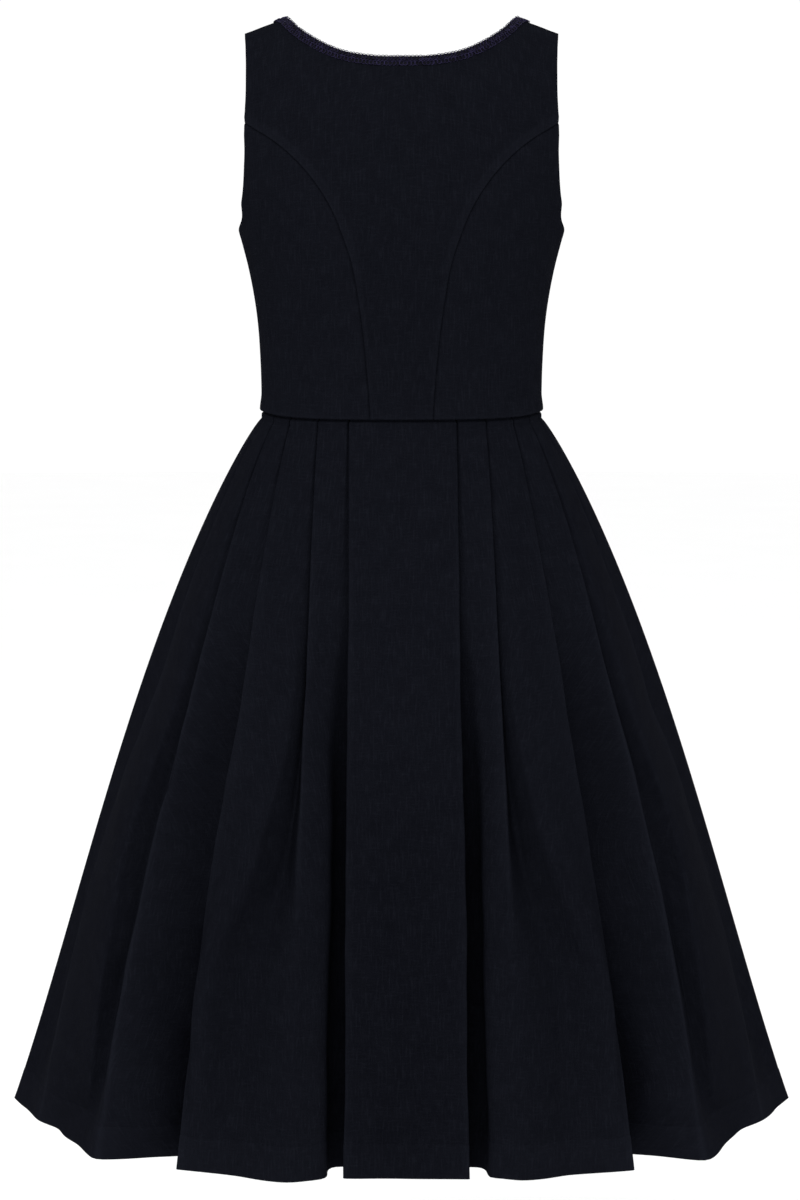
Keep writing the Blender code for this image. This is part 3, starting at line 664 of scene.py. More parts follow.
def sidePanel(part):
    grid, seam, upper = sideGrid(part)
    grid = resample(grid, fineAt(grid.shape[1]), fineAt(grid.shape[0]))
    flat = onFigure(grid[..., 0], grid[..., 1], part)
    inner, armholeLine = flat[:, 0], onFigure(upper[:, 0], upper[:, 1], part)
    fromSeam = nearTo(flat, inner) - bodice["tuckUnder"]
    fromArmhole = nearTo(flat, armholeLine)
    under = 1 - smooth(*bodice["underEdge"], fromSeam)
    pucker = puckered("side", grid, np.maximum(fromSeam, 0)) * (1 - under)
    fromSide = (pi / 2 - grid[..., 0]) * figure["radius"]
    heights = (uneven(grid, part) - under * bodice["tuckDepth"] + pucker
               + edgeShape(fromArmhole, 1 - under) - dropped("sideDrop", fromSide))
    lower, paintedLight = waistEdge(heights, part, grid)
    # painted shade on the cloth tucked under the curved seam, and a painted highlight along the
    # armhole edge
    paintedLight += paleLine("edgeHighlight", fromArmhole) - bodice["underShade"] * under
    return grid, heights, lower, paintedLight


def bothHalves(right, left):
    return [np.concatenate((b[:, :-1], a), axis=1) for a, b in zip(right, left)]


def declare(piece, nodes):
    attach(piece, "root")
    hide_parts(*nodes)
    return piece


def bodicePiece(name, node, made, finish):
    piece = makeCloth(name, *made, finishes[finish], bodice["wall"], -1)
    pieces[name] = declare(piece, (node,))


pieces, trimBands = {}, {}
hands = ((False, "right"), (True, "left"))
for part in ("back", "front"):
    start = 0.0 if part == "back" else bodice["centreFrontTurn"]
    grid, heights, lower, paintedLight, trimBands[part] = centrePanel(part, start)
    halves = [layOut(grid, part, heights, lower, paintedLight, mirrored) for mirrored, _ in hands]
    if part == "back":
        bodicePiece("centreBack", "back_centre", bothHalves(*halves), "centre")
    else:
        for made, (_, hand) in zip(halves, hands):
            bodicePiece("centreFront" + hand.title(), "front_centre_" + hand, made, "centre")
    grid, heights, lower, paintedLight = sidePanel(part)
    for mirrored, hand in hands:
        bodicePiece("side" + part.title() + hand.title(), part + "_side_" + hand,
                    layOut(grid, part, heights, lower, paintedLight, mirrored), "side")
print("bodice made")


# the skirt: folds from the centre out
skirt = {
    "wall": 0.0009, "solidWall": 0.0012,
    "hemDown": 1.061, "hemOut": {"back": 0.3075, "front": 0.3165}, "hemHalfWidth": 0.384,
    "waistGap": 0.0006,
    "stay": 0.012,              # share of the length over which the pleats lie as sewn
    "swell": (0.42, 0.75, 1.6), # how far the sides bow out, and how that rises and falls
    "layer": 0.0015,            # from one layer of a pleat to the next
    "degree": 0.0021,           # cloth in a tuck for each degree round the waist
    "emerge": 1.5,              # degrees from a fold to where the next strip comes out
    "tuckTurn": 1.55, "tuckLayer": 2.1, "opens": 1.4, "leanFrom": 0.4,
    "seamFlat": 0.004, "seamGap": 0.00005,
    "cornerIn": 0.0012, "cornerDown": 0.9, "bendRoom": 0.4,
    "rowStep": 0.0078, "columnStep": 0.0058, "columnSteps": (2, 11),
    "topRows": (-0.0020, 0.0000, 0.0012, 0.0017, 0.0022, 0.0028, 0.0037, 0.0055, 0.0080,
                0.0120, 0.0165, 0.0225, 0.0295),
    "recess": 0.0026, "recessEnd": (0.0008, 0.0040),    # the top lies inside the bodice's edge
    "hemRows": (0.0400, 0.0345, 0.0318, 0.0306, 0.0300, 0.0294, 0.0284, 0.0260, 0.0200,
                0.0125, 0.0065, 0.0030, 0.0012, 0.0004, 0.0),
    "hemDepth": 0.030, "hemEdge": (0.0290, 0.0306),
    "hemStep": 0.0003, "hemGroove": (0.00025, 0.0008), "sideGroove": (0.0004, 0.0016),
    "hemPale": 0.3, "hemPaleEdge": (0.0290, 0.0304),
    "foldPoints": 8, "crestPoint": 3, "valleyPoint": 6,     # counted along one fold
    "slant": 1.047,             # length down the cloth for every length down the dress
}
# how each fold opens on its way down: where its valley and the next rise lie from its edge
Section = namedtuple("Section", "at valleyAlong valleyIn riseAlong riseIn square edgeBend "
                                "valleyBend")
sections = {
    "box": (Section(0.27, -0.015, 0.009, 0.009, 0.001, 0.3, 0.003, 0.003),
            Section(0.43, -0.013, 0.028, 0.019, 0.002, 0.4, 0.003, 0.006),
            Section(0.59, -0.012, 0.040, 0.0180, 0.003, 0.7, 0.003, 0.007),
            Section(0.75, -0.012, 0.044, 0.0185, 0.002, 0.75, 0.003, 0.007)),
    "first": (Section(0.27, -0.010, 0.007, 0.011, 0.001, 0.0, 0.003, 0.003),
              Section(0.43, -0.008, 0.012, 0.019, 0.002, 0.0, 0.003, 0.004),
              Section(0.59, -0.002, 0.024, 0.046, 0.014, 0.0, 0.003, 0.008),
              Section(0.75, 0.020, 0.044, 0.069, 0.052, 0.0, 0.010, 0.016),
              Section(0.86, 0.026, 0.052, 0.069, 0.059, 0.0, 0.014, 0.016)),
    "second": (Section(0.27, -0.010, 0.009, 0.016, 0.002, 0.0, 0.003, 0.003),
               Section(0.43, -0.007, 0.036, 0.030, 0.014, 0.0, 0.003, 0.006),
               Section(0.59, -0.006, 0.045, 0.032, 0.016, 0.0, 0.003, 0.008),
               Section(0.75, 0.036, 0.034, 0.041, -0.012, 0.0, 0.003, 0.006),
               Section(0.86, 0.040, 0.028, 0.044, -0.010, 0.0, 0.003, 0.006)),
    "third": (Section(0.27, -0.010, 0.008, 0.011, 0.005, 0.0, 0.003, 0.003),
              Section(0.43, -0.008, 0.013, 0.014, 0.012, 0.0, 0.003, 0.004),
              Section(0.59, -0.005, 0.020, 0.024, 0.017, 0.0, 0.003, 0.006),
              Section(0.75, -0.004, 0.021, 0.021, 0.013, 0.0, 0.003, 0.007),
              Section(0.86, -0.002, 0.028, 0.015, 0.030, 0.0, 0.004, 0.009),
              Section(0.93, 0.000, 0.040, 0.012, 0.050, 0.0, 0.010, 0.014)),
    "fourth": (Section(0.27, -0.006, 0.006, 0.016, 0.003, 0.0, 0.003, 0.003),
               Section(0.43, -0.004, 0.009, 0.022, 0.005, 0.0, 0.003, 0.004),
               Section(0.59, 0.005, 0.010, 0.034, 0.008, 0.0, 0.006, 0.006),
               Section(0.75, 0.022, 0.011, 0.050, 0.011, 0.0, 0.010, 0.008)),
}
# what all folds of a kind share: depth of the tuck, roundness at the hem, lean to the side
Kind = namedtuple("Kind", "tuck edgeBend valleyBend square lean")
kinds = {
    "box": Kind(10, 0.003, 0.006, 0.75, 0),
    "first": Kind(8, 0.020, 0.014, 0, 0),
    "second": Kind(9, 0.003, 0.007, 0, 0.005),
    "third": Kind(6.5, 0.016, 0.020, 0, 0.0065),
    "fourth": Kind(5.5, 0.016, 0.010, 0, 0.012),
}
# each fold's place round the waist in degrees, its edge, valley and next rise at the hem, and
# how much it bows out on the way
Fold = namedtuple("Fold", "name at edgeX edgeY valleyX valleyY riseX riseY bow")
folds = {
    "back": {
        "right": (
            Fold("box", 20.3, 0.0625, 0.307, 0.047, 0.262, 0.0800, 0.305, 0.6),
            Fold("first", 34, 0.109, 0.320, 0.152, 0.293, 0.184, 0.285, 0.9),
            Fold("second", 50, 0.213, 0.278, 0.186, 0.212, 0.235, 0.226, 0.74),
            Fold("third", 63.5, 0.284, 0.248, 0.306, 0.179, 0.328, 0.126, 1.1),
            Fold("fourth", 76, 0.352, 0.092, 0.368, 0.042, 0.378, 0.018, 1.0)),
        "left": (
            Fold("box", 19.3, 0.053, 0.305, 0.038, 0.262, 0.0710, 0.303, 0.6),
            Fold("first", 33.5, 0.104, 0.321, 0.150, 0.296, 0.180, 0.287, 0.9),
            Fold("second", 50, 0.207, 0.279, 0.181, 0.214, 0.230, 0.228, 0.78),
            Fold("third", 63.5, 0.286, 0.247, 0.307, 0.181, 0.329, 0.127, 1.0),
            Fold("fourth", 77, 0.352, 0.094, 0.368, 0.044, 0.378, 0.019, 1.0))},
    "front": {
        "right": (
            Fold("box", 21, 0.059, 0.316, 0.044, 0.271, 0.0765, 0.314, 0.6),
            Fold("first", 34, 0.108, 0.329, 0.153, 0.303, 0.183, 0.295, 0.9),
            Fold("second", 50, 0.209, 0.288, 0.183, 0.224, 0.232, 0.237, 0.7),
            Fold("third", 63.5, 0.285, 0.256, 0.308, 0.185, 0.330, 0.130, 1.1),
            Fold("fourth", 76.5, 0.351, 0.098, 0.368, 0.046, 0.378, 0.019, 1.0)),
        "left": (
            Fold("box", 20, 0.061, 0.317, 0.046, 0.272, 0.0785, 0.315, 0.6),
            Fold("first", 34, 0.111, 0.330, 0.156, 0.303, 0.186, 0.294, 0.9),
            Fold("second", 50, 0.211, 0.286, 0.185, 0.222, 0.233, 0.235, 0.7),
            Fold("third", 63.5, 0.283, 0.257, 0.306, 0.186, 0.328, 0.131, 1.1),
            Fold("fourth", 77, 0.352, 0.096, 0.368, 0.045, 0.378, 0.019, 1.0))},
}
skirtLength = skirt["hemDown"] - figure["waistDown"]


def skirtShare(down, bow):
    # how far out, from waist to hem, the skirt stands at a share of its length
    swell, rise, fall = skirt["swell"]
    hang = max(down - skirt["stay"], 0.0) / (1 - skirt["stay"])
    return hang + bow * swell * hang ** rise * (1 - hang) ** fall


def leaning(down):
    # how much of a fold's lean to the side shows at a share of the length
    low = max(down - skirt["leanFrom"], 0.0) / (1 - skirt["leanFrom"])
    return 4 * low * (1 - low)


def waistSpot(degrees, part):
    turn = radians(degrees)
    here, ahead = (onFigure(np.array(turn + step), waistRun, part)[:2]
                   for step in (0, figure["turnStep"]))
    tangent = unit(ahead - here)
    inwards = np.array((tangent[1], -tangent[0])) * facing[part]
    return here + inwards * (skirt["solidWall"] / 2)


def bend(before, corner, after, length):
    start = corner + unit(before - corner) * length
    end = corner + unit(after - corner) * length
    return [start, (start + 2 * corner + end) / 4, end]


def stripFrame(before, edge, part):
    ahead = unit(edge - before)
    return np.array((ahead, np.array((ahead[1], -ahead[0])) * facing[part]))


def waistFolds(half, part):
    before = waistSpot(half[0].at / 2, part)
    layer, found = skirt["layer"], []
    turnLayer, tuckLayer = skirt["tuckTurn"] * layer, skirt["tuckLayer"] * layer
    for fold in half:
        edge = waistSpot(fold.at, part)
        frameAt = stripFrame(before, edge, part)
        tuck = kinds[fold.name].tuck * skirt["degree"]
        emerge = waistSpot(fold.at + skirt["emerge"], part)
        found.append((edge, np.array((
            (-layer / 2, 0.0), (0.0, layer / 2), (-layer / 2, layer),
            (layer / 2 - tuck, layer), (-tuck, turnLayer), (layer / 2 - tuck, tuckLayer),
            (layer / 2, tuckLayer), frameAt @ (emerge - edge)))))
        before = emerge
    return found


def boxCorner(half, part):
    centre = np.array((0.0, facing[part] * skirt["hemOut"][part]))
    corner = np.array((half[0].edgeX, facing[part] * half[0].edgeY))
    return centre, mix(centre, corner, 0.5)


def hemSections(half, part):
    # the edges at the hem, and the sections of every fold down to there
    before = boxCorner(half, part)[1]
    found = []
    for fold in half:
        edge, valley, rise = (np.array((x, facing[part] * y)) for x, y in (
            (fold.edgeX, fold.edgeY), (fold.valleyX, fold.valleyY), (fold.riseX, fold.riseY)))
        frameAt, kind = stripFrame(before, edge, part), kinds[fold.name]
        atHem = Section(1.0, *(frameAt @ (valley - edge)), *(frameAt @ (rise - edge)),
                        kind.square, kind.edgeBend, kind.valleyBend)
        rows = np.array((*sections[fold.name], atHem))
        found.append((edge, rows[0, 0], curve(rows[:, 0], rows[:, 1:])))
        before = rise
    return found


def sectionPoints(numbers):
    valley, rise = numbers[:2], numbers[2:4]
    square, edgeBend, valleyBend = numbers[4:]
    corner = np.array((rise[0] - skirt["cornerIn"],
                       mix(rise[1], valley[1], skirt["cornerDown"])))
    foot = mix(mix(valley, rise, 0.5), corner, square)
    edge = np.zeros(2)
    room = skirt["bendRoom"] * np.linalg.norm(valley)
    edgeBend = min(edgeBend, room)
    valleyBend = min(valleyBend, room, skirt["bendRoom"] * np.linalg.norm(foot - valley))
    return np.array(bend(np.array((-1.0, 0.0)), edge, valley, edgeBend)
                    + bend(edge, valley, foot, valleyBend) + [foot, rise])


def halfSkirt(half, down, part):
    # the cloth's line in plan at a share of the way down, from the centre to the side seam
    hemCentre, hemFlat = boxCorner(half, part)
    share = skirtShare(down, half[0].bow)
    line = [mix(waistSpot(0.0, part), hemCentre, share),
            mix(waistSpot(half[0].at / 2, part), hemFlat, share)]
    for fold, (edgeWaist, nearWaist), (edgeHem, opened, sectionAt) in zip(
            half, waistFolds(half, part), hemSections(half, part)):
        edge = mix(edgeWaist, edgeHem, skirtShare(down, fold.bow))
        edge[0] += kinds[fold.name].lean * leaning(down)
        near = sectionPoints(sectionAt(down))
        if down < opened:
            hang = max(down - skirt["stay"], 0.0) / (opened - skirt["stay"])
            near = mix(nearWaist, near, hang ** skirt["opens"])
        line += list(edge + near @ stripFrame(line[-1], edge, part))
    width = mix(halfWidthAt(waistRun) - skirt["solidWall"] / 2, skirt["hemHalfWidth"],
                skirtShare(down, 1.0))
    line = np.array(line)
    widest = line[:, 0].max()
    if widest > width:      # past the last fold the cloth is drawn in to the side seam
        loose = np.maximum(line[:, 0] - edge[0], 0)
        line[:, 0] -= loose * (widest - width) / (widest - edge[0])
    return np.vstack((line, (width, facing[part] * skirt["seamFlat"]),
                      (width, facing[part] * skirt["seamGap"])))


def subdivide(rows):
    # rounds every row of plan points: the same number of steps between the same two points,
    # and tells which column each point has become
    steps = np.diff(rows, axis=1)
    lengths = np.linalg.norm(steps, axis=-1)
    counts = np.clip(np.round(lengths[-1] / skirt["columnStep"]),
                     *skirt["columnSteps"]).astype(int)
    tangents = unit(np.gradient(rows, axis=1))
    found = []
    for i, count in enumerate(counts):
        t = (np.arange(count) / count)[None, :, None]
        size = lengths[:, i][:, None, None]
        a, b = rows[:, i:i + 1], rows[:, i + 1:i + 2]
        ta, tb = tangents[:, i:i + 1] * size, tangents[:, i + 1:i + 2] * size
        found.append((1 + 2 * t) * (1 - t) ** 2 * a + t * (1 - t) ** 2 * ta
                     + t * t * (3 - 2 * t) * b + t * t * (t - 1) * tb)
    places = np.concatenate(([0], np.cumsum(counts)))
    return np.concatenate(found + [rows[:, -1:]], axis=1), places


def lengthAcross(points):
    steps = np.linalg.norm(np.diff(points, axis=1), axis=-1)
    return np.pad(np.cumsum(steps, axis=1), ((0, 0), (1, 0)))


# the soft hang of the cloth between its folds: height, size and stretch of every kind of wave
drape = {
    "sway": (0.0016, 0.11, 0.35), "small": (0.0007, 0.045, 0.5),
    "gathers": (0.0003, 0.009, 0.1), "hem": (0.0010, 0.16, 0),
    "hangs": (0.03, 0.40), "gathered": 0.028,   # how far down the cloth they begin or end
    "hemFrom": (0.5, 1.0),                      # shares of the length
    "calm": 0.035,                              # the side seams hold the cloth still
    "seed": {"back": 41, "front": 42},
}
# painted highlight and painted shade bands down the cloth: strength, width, and how far down they
# come in
paintedBands = {
    "edge": (1.0, 0.0026, (0.02, 0.20)), "face": (0.5, 0.026, (0.12, 0.30)),
    "pocket": (-1.5, 0.028, (0.20, 0.42)), "centre": (-0.55, 0.06, (0.25, 0.45)),
    # where the painted highlight on the first fold's edge fades out
    "firstLost": (0.35, 0.50),
}


def ripple(kind, u, v, seed):
    height, size, stretch = drape[kind]
    return height * softNoise(u, v * stretch, size, seed)


def paintedBand(kind, away, v):
    # a band of painted highlight, or of painted shade where the strength is negative
    strength, width, begins = paintedBands[kind]
    return strength * np.exp(-(away / width) ** 2) * smooth(*begins, v)


def skirtPlans(part):
    # the cloth's lines in plan from the waist to the hem, and how far down each one lies
    top, hem = skirt["topRows"], skirtLength - np.array(skirt["hemRows"])
    middle = np.arange(top[-1] + skirt["rowStep"], hem[0] - skirt["rowStep"] / 2,
                       skirt["rowStep"])
    downs = np.concatenate((top, middle, hem))
    plans = []
    for down in downs / skirtLength:
        left, right = (halfSkirt(folds[part][hand], max(down, 0), part)
                       for hand in ("left", "right"))
        plans.append(np.concatenate((left[:0:-1] * (-1, 1), right)))
    return downs, *subdivide(np.array(plans))


def skirtHeights(part, plans, downs):
    # the waist seam dips towards the middle, and the hem is level
    across = np.clip(abs(plans[0, :, 0]) / halfWidthAt(waistRun), 0, 1)
    dip = 1 - across ** (figure["dipPower"][part] * figure["roundness"] / 2)
    waist = -figure["waistDown"] - skirt["waistGap"] - figure["waistDip"][part] * dip
    return mix(waist[None], -skirt["hemDown"], downs[:, None] / skirtLength)


def skirtWave(u, v, loose, fromSide, seed):
    # how far the cloth stands off its plan: soft drape, the turned-up hem and the side seams
    fromHem = skirtLength - v
    wave = loose * (smooth(*drape["hangs"], v) * (ripple("sway", u, v, seed)
                                                  + ripple("small", u, v, seed + 1))
                    + np.exp(-v / drape["gathered"]) * ripple("gathers", u, v, seed + 2))
    wave += skirt["hemStep"] * (1 - smooth(*skirt["hemEdge"], fromHem))
    depth, width = skirt["hemGroove"]
    wave -= depth * np.exp(-((fromHem - skirt["hemDepth"]) / width) ** 2)
    depth, width = skirt["sideGroove"]
    return wave - depth * (1 - smooth(0, width, fromSide))


def skirtPaintedLight(part, u, v, places):
    # painted highlights along the folds' edges and on the faces of the outer folds, painted shade
    # deep in the pleats and down the lower centre panel; paler over the turned-up hem
    middle = (len(places) - 1) // 2
    paintedLight = np.zeros_like(u)
    for number, fold in enumerate(folds[part]["right"]):
        before = skirt["foldPoints"] * number
        for side in (-1, 1):
            crest, valley = (u[:, [places[middle + side * (before + point)]]]
                             for point in (skirt["crestPoint"], skirt["valleyPoint"]))
            lost = smooth(*paintedBands["firstLost"], v) if fold.name == "first" else 0
            # painted highlight along each fold's edge
            paintedLight += paintedBand("edge", u - crest, v) * (1 - lost)
            if fold.name in ("box", "second"):
                # painted shade deep in the pleat
                paintedLight += paintedBand("pocket", u - valley, v)
            if fold.name in ("second", "third", "fourth"):
                # painted light on the faces of the outer folds
                paintedLight += paintedBand("face", u - crest, v)
    # painted shade down the lower centre panel
    paintedLight += paintedBand("centre", u, v)
    return paintedLight + skirt["hemPale"] * (1 - smooth(*skirt["hemPaleEdge"], skirtLength - v))


def skirtPoints(part):
    downs, plans, places = skirtPlans(part)
    heights = skirtHeights(part, plans, downs)
    aside = unit(np.gradient(plans, axis=1))
    outwards = np.stack((aside[..., 1], -aside[..., 0]), axis=-1) * -facing[part]
    u = lengthAcross(plans)
    u = u - u[:, [np.argmin(abs(plans[0, :, 0]))]]
    v = downs[:, None] * np.ones_like(u)
    fromSide, seed = abs(plans[..., 1]), drape["seed"][part]
    loose = smooth(0, drape["calm"], fromSide)
    plans = plans + outwards * skirtWave(u, v, loose, fromSide, seed)[..., None]
    recess = skirt["recess"] * (1 - smooth(*skirt["recessEnd"], v))
    plans *= (1 - recess / np.linalg.norm(plans, axis=-1))[..., None]
    heights = heights + (loose * smooth(*drape["hemFrom"], v / skirtLength)
                         * ripple("hem", u, v, seed + 3))
    points = np.concatenate((plans, heights[..., None]), axis=-1)
    grain = np.stack((u, -v * skirt["slant"]), axis=-1)
    made = [values[::-1] for values in (points, grain, skirtPaintedLight(part, u, v, places))]
    return made if part == "back" else [values[:, ::-1] for values in made]


skirtGrids = {}
for part in ("back", "front"):
    points, grain, paintedLight = skirtPoints(part)
    skirtGrids[part] = points
    name = "skirt" + part.title()
    pieces[name] = declare(
        makeCloth(name, points, grain, paintedLight, finishes["skirt"], skirt["wall"], 0),
        ("skirt_" + part,))
print("skirt made")


# threadwork by Geometry Nodes: the same small shape set along lines on the cloth
def threadShape(add, group, shape):
    # a "ring" is a loop of braid, and a "grain" is a stitch or a twist of cord
    if shape == "ring":
        circle = add("GeometryNodeCurvePrimitiveCircle", {"mode": "RADIUS"},
                     {"Resolution": 11, "Radius": 0.5})
        size = add("ShaderNodeCombineXYZ", None,
                   {"X": group["Length"], "Y": group["Width"], "Z": 1.0})
        circle = add("GeometryNodeTransform", None, {"Geometry": circle, "Scale": size})
        profile = add("GeometryNodeCurvePrimitiveCircle", {"mode": "RADIUS"},
                      {"Resolution": 4, "Radius": group["Thread"]})
        return add("GeometryNodeCurveToMesh", None, {"Curve": circle, "Profile Curve": profile})
    ball = add("GeometryNodeMeshUVSphere", None, {"Segments": 6, "Rings": 5, "Radius": 0.5})
    ball = add("GeometryNodeTransform", None, {"Geometry": ball, "Rotation": (0, pi / 2, 0)})
    size = add("ShaderNodeCombineXYZ", None,
               {"X": group["Length"], "Y": group["Width"], "Z": group["Thread"]})
    return add("GeometryNodeTransform", None, {"Geometry": ball, "Scale": size})


def threadTree(name, shape):
    tree = bpy.data.node_groups.new(name, "GeometryNodeTree")
    face = tree.interface
    face.new_socket("Line", in_out="INPUT", socket_type="NodeSocketGeometry")
    for title, kind, value in (("Pitch", "Float", 0.003), ("Length", "Float", 0.003),
                               ("Width", "Float", 0.002), ("Thread", "Float", 0.0004),
                               ("Tilt", "Float", 0.0), ("Lean", "Float", 0.0),
                               ("Wobble", "Float", 0.1), ("Seed", "Int", 1),
                               ("Finish", "Material", None)):
        socket = face.new_socket(title, in_out="INPUT", socket_type="NodeSocket" + kind)
        if value is not None:
            socket.default_value = value
    face.new_socket("Threads", in_out="OUTPUT", socket_type="NodeSocketGeometry")

    def add(kind, settings=None, sockets=None, output=0):
        return addNode(tree, kind, settings, sockets).outputs[output]

    group = tree.nodes.new("NodeGroupInput").outputs
    line = add("GeometryNodeMeshToCurve", None, {"Mesh": group["Line"]})
    spots = add("GeometryNodeResampleCurve", {"mode": "LENGTH"},
                {"Curve": line, "Length": group["Pitch"]})
    outward = add("GeometryNodeInputNamedAttribute", {"data_type": "FLOAT_VECTOR"},
                  {"Name": "outward"})
    tangent = add("GeometryNodeInputTangent")
    facingOut = add("FunctionNodeAxesToRotation",
                    {"primary_axis": "Z", "secondary_axis": "X"},
                    {"Primary Axis": outward, "Secondary Axis": tangent})
    lower = add("ShaderNodeMath", {"operation": "MULTIPLY"}, {0: group["Wobble"], 1: -1.0})
    turns = []
    # a seed of its own for every direction
    for shift, around in ((0, group["Lean"]), (7, None), (13, group["Tilt"])):
        seed = add("ShaderNodeMath", {"operation": "ADD"}, {0: group["Seed"], 1: shift})
        chance = add("FunctionNodeRandomValue", {"data_type": "FLOAT"},
                     {"Min": lower, "Max": group["Wobble"], "Seed": seed}, 1)
        if around is not None:
            chance = add("ShaderNodeMath", {"operation": "ADD"}, {0: chance, 1: around})
        turns.append(chance)
    turn = add("ShaderNodeCombineXYZ", None, dict(zip(("X", "Y", "Z"), turns)))
    turn = add("FunctionNodeEulerToRotation", None, {"Euler": turn})
    turned = add("FunctionNodeRotateRotation", {"rotation_space": "LOCAL"},
                 {"Rotation": facingOut, "Rotate By": turn})
    placed = add("GeometryNodeInstanceOnPoints", None,
                 {"Points": spots, "Instance": threadShape(add, group, shape),
                  "Rotation": turned})
    real = add("GeometryNodeRealizeInstances", None, {"Geometry": placed})
    shaded = add("GeometryNodeSetShadeSmooth", None, {"Geometry": real})
    done = add("GeometryNodeSetMaterial", None,
               {"Geometry": shaded, "Material": group["Finish"]})
    tree.links.new(done, tree.nodes.new("NodeGroupOutput").inputs["Threads"])
    return tree


ringTree, grainTree = threadTree("braidRings", "ring"), threadTree("threadGrains", "grain")


def threads(name, tree, lines, settings, finish):
    # lines are (points, outward) pairs; the result is a plain mesh
    points = np.concatenate([line for line, _ in lines])
    outward = np.concatenate([out for _, out in lines])
    ends = np.cumsum([len(line) for line, _ in lines])
    edges = [(i, i + 1) for i in range(len(points) - 1) if i + 1 not in ends]
    path = bpy.data.meshes.new(name + "Path")
    path.from_pydata(points.tolist(), edges, [])
    attribute = path.attributes.new("outward", "FLOAT_VECTOR", "POINT")
    attribute.data.foreach_set("vector", outward.ravel())
    carrier = addObject(name + "Path", path)
    modifier = carrier.modifiers.new("threads", "NODES")
    modifier.node_group = tree
    for item in tree.interface.items_tree:
        if item.in_out == "INPUT" and item.name in settings:
            modifier[item.identifier] = settings[item.name]
        elif item.in_out == "INPUT" and item.name == "Finish":
            modifier[item.identifier] = finish
    bpy.context.view_layer.update()
    shaped = carrier.evaluated_get(bpy.context.evaluated_depsgraph_get())
    mesh = bpy.data.meshes.new_from_object(shaped)
    bpy.data.objects.remove(carrier, do_unlink=True)
    mesh.name = name
    mesh.materials.clear()
    if "outward" in mesh.attributes:
        mesh.attributes.remove(mesh.attributes["outward"])
    return addObject(name, mesh, finish)


trim = {
    "wall": 0.0006,
    "lift": 0.00075,            # top of the ground tape off the panel's figure
    "rows": (0, 0.12, 0.35, 1, 2, 3, 3.5, 3.8, 4), "rounding": (0.00035, 0.0001, 0),
    "steps": 160,
    "ring": {"Pitch": 0.0036, "Length": 0.0046, "Width": 0.0042, "Thread": 0.00034,
             "Lean": 0.22, "Wobble": 0.35},
    "ringRows": (0.20, 0.83), "ringLift": 0.00105,
    "cord": {"Pitch": 0.0034, "Length": 0.0034, "Width": 0.00125, "Thread": 0.0009,
             "Tilt": 0.60, "Wobble": 0.10},
    "cordRows": (0.46, 0.58), "cordLift": 0.00120,
}


def trimGrid(part):
    # from the trim's inner line to the neckline's edge, ending square on the shoulder seam
    band, count = trimBands[part], bodice["neckColumns"][part]
    corner = band[-1, count]
    last = np.array([mix(corner, mix(band[-1, count - 1], corner, 0.5), share)
                     for share in trimShares])
    return np.concatenate((band[:, :count], last[:, None]), axis=1)


def trimLine(grid, share, part, lift, mirrored):
    # a line along the trim, at a share of its width, with its outward directions
    line = np.column_stack([[np.interp(share, trimShares, grid[:, j, k])
                             for j in range(grid.shape[1])] for k in (0, 1)])
    line = even(line, trim["steps"])
    here, _, _, out = directions(line[:, 0], line[:, 1], part)
    points = here + out * lift
    if mirrored:
        points, out = points * (-1, 1, 1), out * (-1, 1, 1)
    return points, out


def braidRow(grid, share, part, lift, halves):
    # one line along the trim: at the back it goes from shoulder to shoulder
    lines = [trimLine(grid, share, part, lift, mirrored) for mirrored in halves]
    if len(lines) == 1:
        return lines[0]
    (right, outRight), (left, outLeft) = lines
    return np.concatenate((left[:0:-1], right)), np.concatenate((outLeft[:0:-1], outRight))


def makeBraid(name, node, made, grid, part, halves):
    # a ground tape, small loops along both its edges and two cords down its middle
    tape = makeCloth(name + "Ground", *made, finishes["tape"], trim["wall"], -1)
    names = [declare(tape, (node,)).name]
    for title, tree, kind, finish in (("Loops", ringTree, "ring", finishes["loops"]),
                                      ("Cord", grainTree, "cord", finishes["cord"])):
        lines = [braidRow(grid, share, part, trim[kind + "Lift"], halves)
                 for share in trim[kind + "Rows"]]
        settings = dict(trim[kind], Seed=3 + len(names))
        made = threads(name + title, tree, lines, settings, finish)
        names.append(declare(made, (node,)).name)
    return names


for part in ("back", "front"):
    grid = trimGrid(part)
    fine = resample(grid, None, trim["rows"])
    fromEdge = np.arange(len(trim["rows"]))
    fromEdge = np.minimum(fromEdge, fromEdge[::-1])
    rounding = np.interp(fromEdge, range(len(trim["rounding"])), trim["rounding"])
    heights = trim["lift"] - rounding[:, None] * np.ones(fine.shape[1])
    sides = {hand: layOut(fine, part, heights, heights * 0, heights * 0, mirrored)
             for mirrored, hand in hands}
    if part == "back":
        makeBraid("braidBack", "neck_trim_back", bothHalves(*sides.values()),
                                     grid, part, (False, True))
    else:
        for mirrored, hand in hands:
            makeBraid("braidFront" + hand.title(), "neck_trim_front_" + hand,
                                         sides[hand], grid, part, (mirrored,))
print("braid made")


hemStitch = {"Pitch": 0.0052, "Length": 0.0024, "Width": 0.0005, "Thread": 0.00035,
             "Wobble": 0.10, "Seed": 5}
stitchLift = 0.00002
hemRow = len(skirt["hemRows"]) - 1 - skirt["hemRows"].index(skirt["hemDepth"])
for part in ("back", "front"):
    line = skirtGrids[part][hemRow]
    out = unit(np.cross(np.gradient(line, axis=0), (0, 0, 1.0)))
    line = line + out * (skirt["wall"] / 2 + stitchLift)
    stitches = threads("hemStitches" + part.title(), grainTree, [(line, out)], hemStitch,
                       finishes["thread"])
    declare(stitches, ("skirt_" + part,))
print("stitches made")


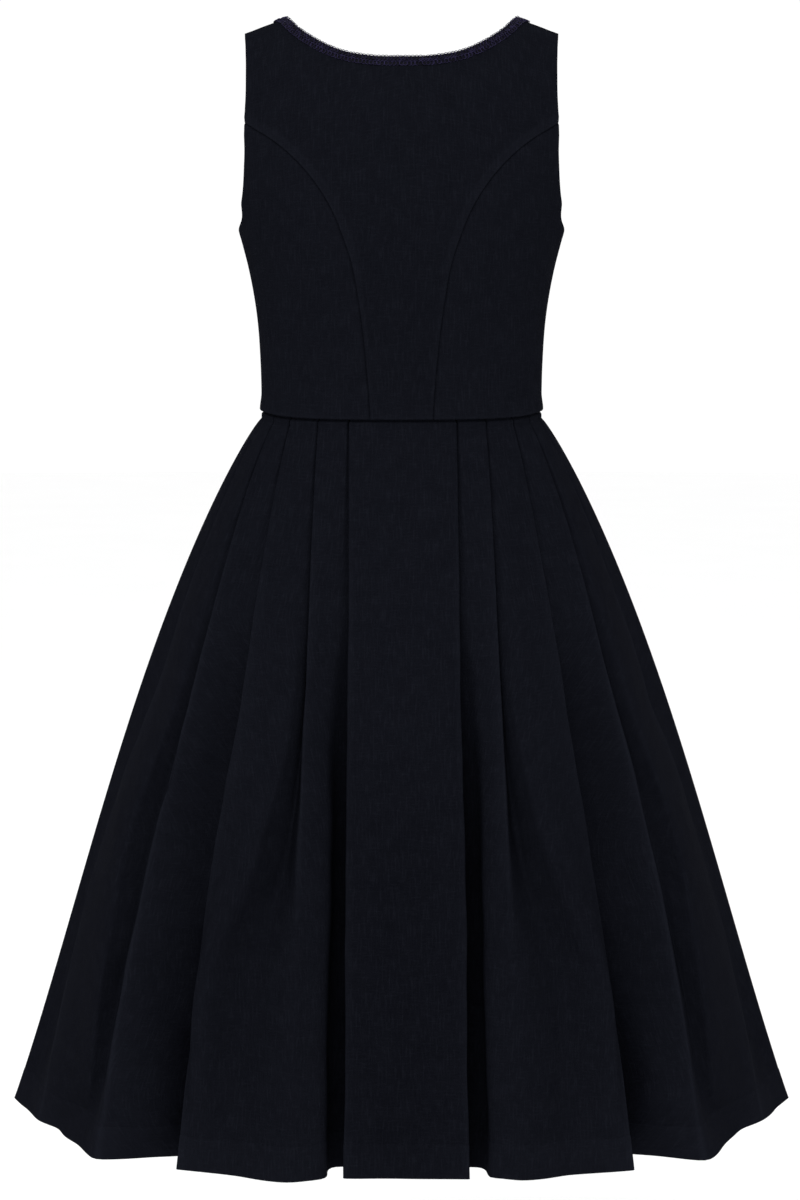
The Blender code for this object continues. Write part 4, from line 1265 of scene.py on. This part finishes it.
# what each sheet of cloth was cut to before it was sewn: width, length and area
cutSizes = {
    "centreBack": ((0.325, 0.433), 0.0625),
    "centreFront": ((0.162, 0.437), 0.0255),
    "sideBack": ((0.186, 0.297), 0.0362),
    "sideFront": ((0.192, 0.244), 0.0294),
    "skirtBack": ((1.48, 0.72), 0.815),
    "skirtFront": ((1.49, 0.72), 0.825),
}
# goes through the names of each cut's pieces; nothing is done with them
for cutName, (flat, area) in cutSizes.items():
    for name in (cutName, cutName + "Right", cutName + "Left"):
        name in pieces


# floor, light and camera
studio = {
    "floorDown": 1.40, "floorRadius": 14.0, "floorCorners": 96, "aimDown": 0.5,
    "floor": {"dark": (0.95, 0.95, 0.95), "light": (0.97, 0.97, 0.97), "roughness": 0.9,
              "bumpDepth": 0.0005, "fixed": {"Specular IOR Level": 0.1}},
    "world": 1.03,
    "key": {"place": (-0.7, -2.3, 2.6), "size": 2.0, "power": 60},
    "fill": {"place": (2.4, -3.8, 0.6), "size": 2.6, "power": 12},
    "cameraPlace": (-0.0015, -3.481, -0.198), "pitch": 84.0, "lens": 107.1,
}
floorMesh = bpy.data.meshes.new("floor")
ring = np.linspace(0, 2 * pi, studio["floorCorners"], endpoint=False)
corners = np.column_stack((np.cos(ring), np.sin(ring), ring * 0)) * studio["floorRadius"]
floorMesh.from_pydata((corners - (0, 0, studio["floorDown"])).tolist(), [],
                      [tuple(range(len(ring)))])
floorPaint, look = Recipe("studioFloor"), studio["floor"]
floorSpeck = floorPaint.add("ShaderNodeTexNoise", None,
                            {"Vector": floorPaint.add("ShaderNodeTexCoord", None, None, 3),
                             "Scale": 3.0})
floorPaint.finish(floorPaint.tint(look["dark"], look["light"], floorSpeck),
                  look["roughness"], floorSpeck, look["bumpDepth"], look["fixed"])
floorObject = addObject("floor", floorMesh, floorPaint.material)

world = bpy.data.worlds.new("studioAir")
bpy.context.scene.world = world
world.use_nodes = True
sky = world.node_tree.nodes["Background"]
sky.inputs["Color"].default_value = (1, 1, 1, 1)
sky.inputs["Strength"].default_value = studio["world"]
for title in ("key", "fill"):
    lamp = studio[title]
    light = bpy.data.lights.new(title, "AREA")
    light.energy, light.size = lamp["power"], lamp["size"]
    lightObject = bpy.data.objects.new(title, light)
    lightObject.location = lamp["place"]
    aim = -lightObject.location
    aim.z -= studio["aimDown"]
    lightObject.rotation_euler = aim.to_track_quat("-Z", "Y").to_euler()
    dress.objects.link(lightObject)

lens = bpy.data.cameras.new("camera")
lens.sensor_fit, lens.sensor_width, lens.sensor_height = "VERTICAL", 24.0, 36.0
lens.lens = studio["lens"]
camera = bpy.data.objects.new("camera", lens)
camera.location = studio["cameraPlace"]
camera.rotation_euler = (radians(studio["pitch"]), 0, 0)
dress.objects.link(camera)
bpy.context.scene.camera = camera
bpy.context.scene.view_settings.view_transform = "Standard"
print("studio made")
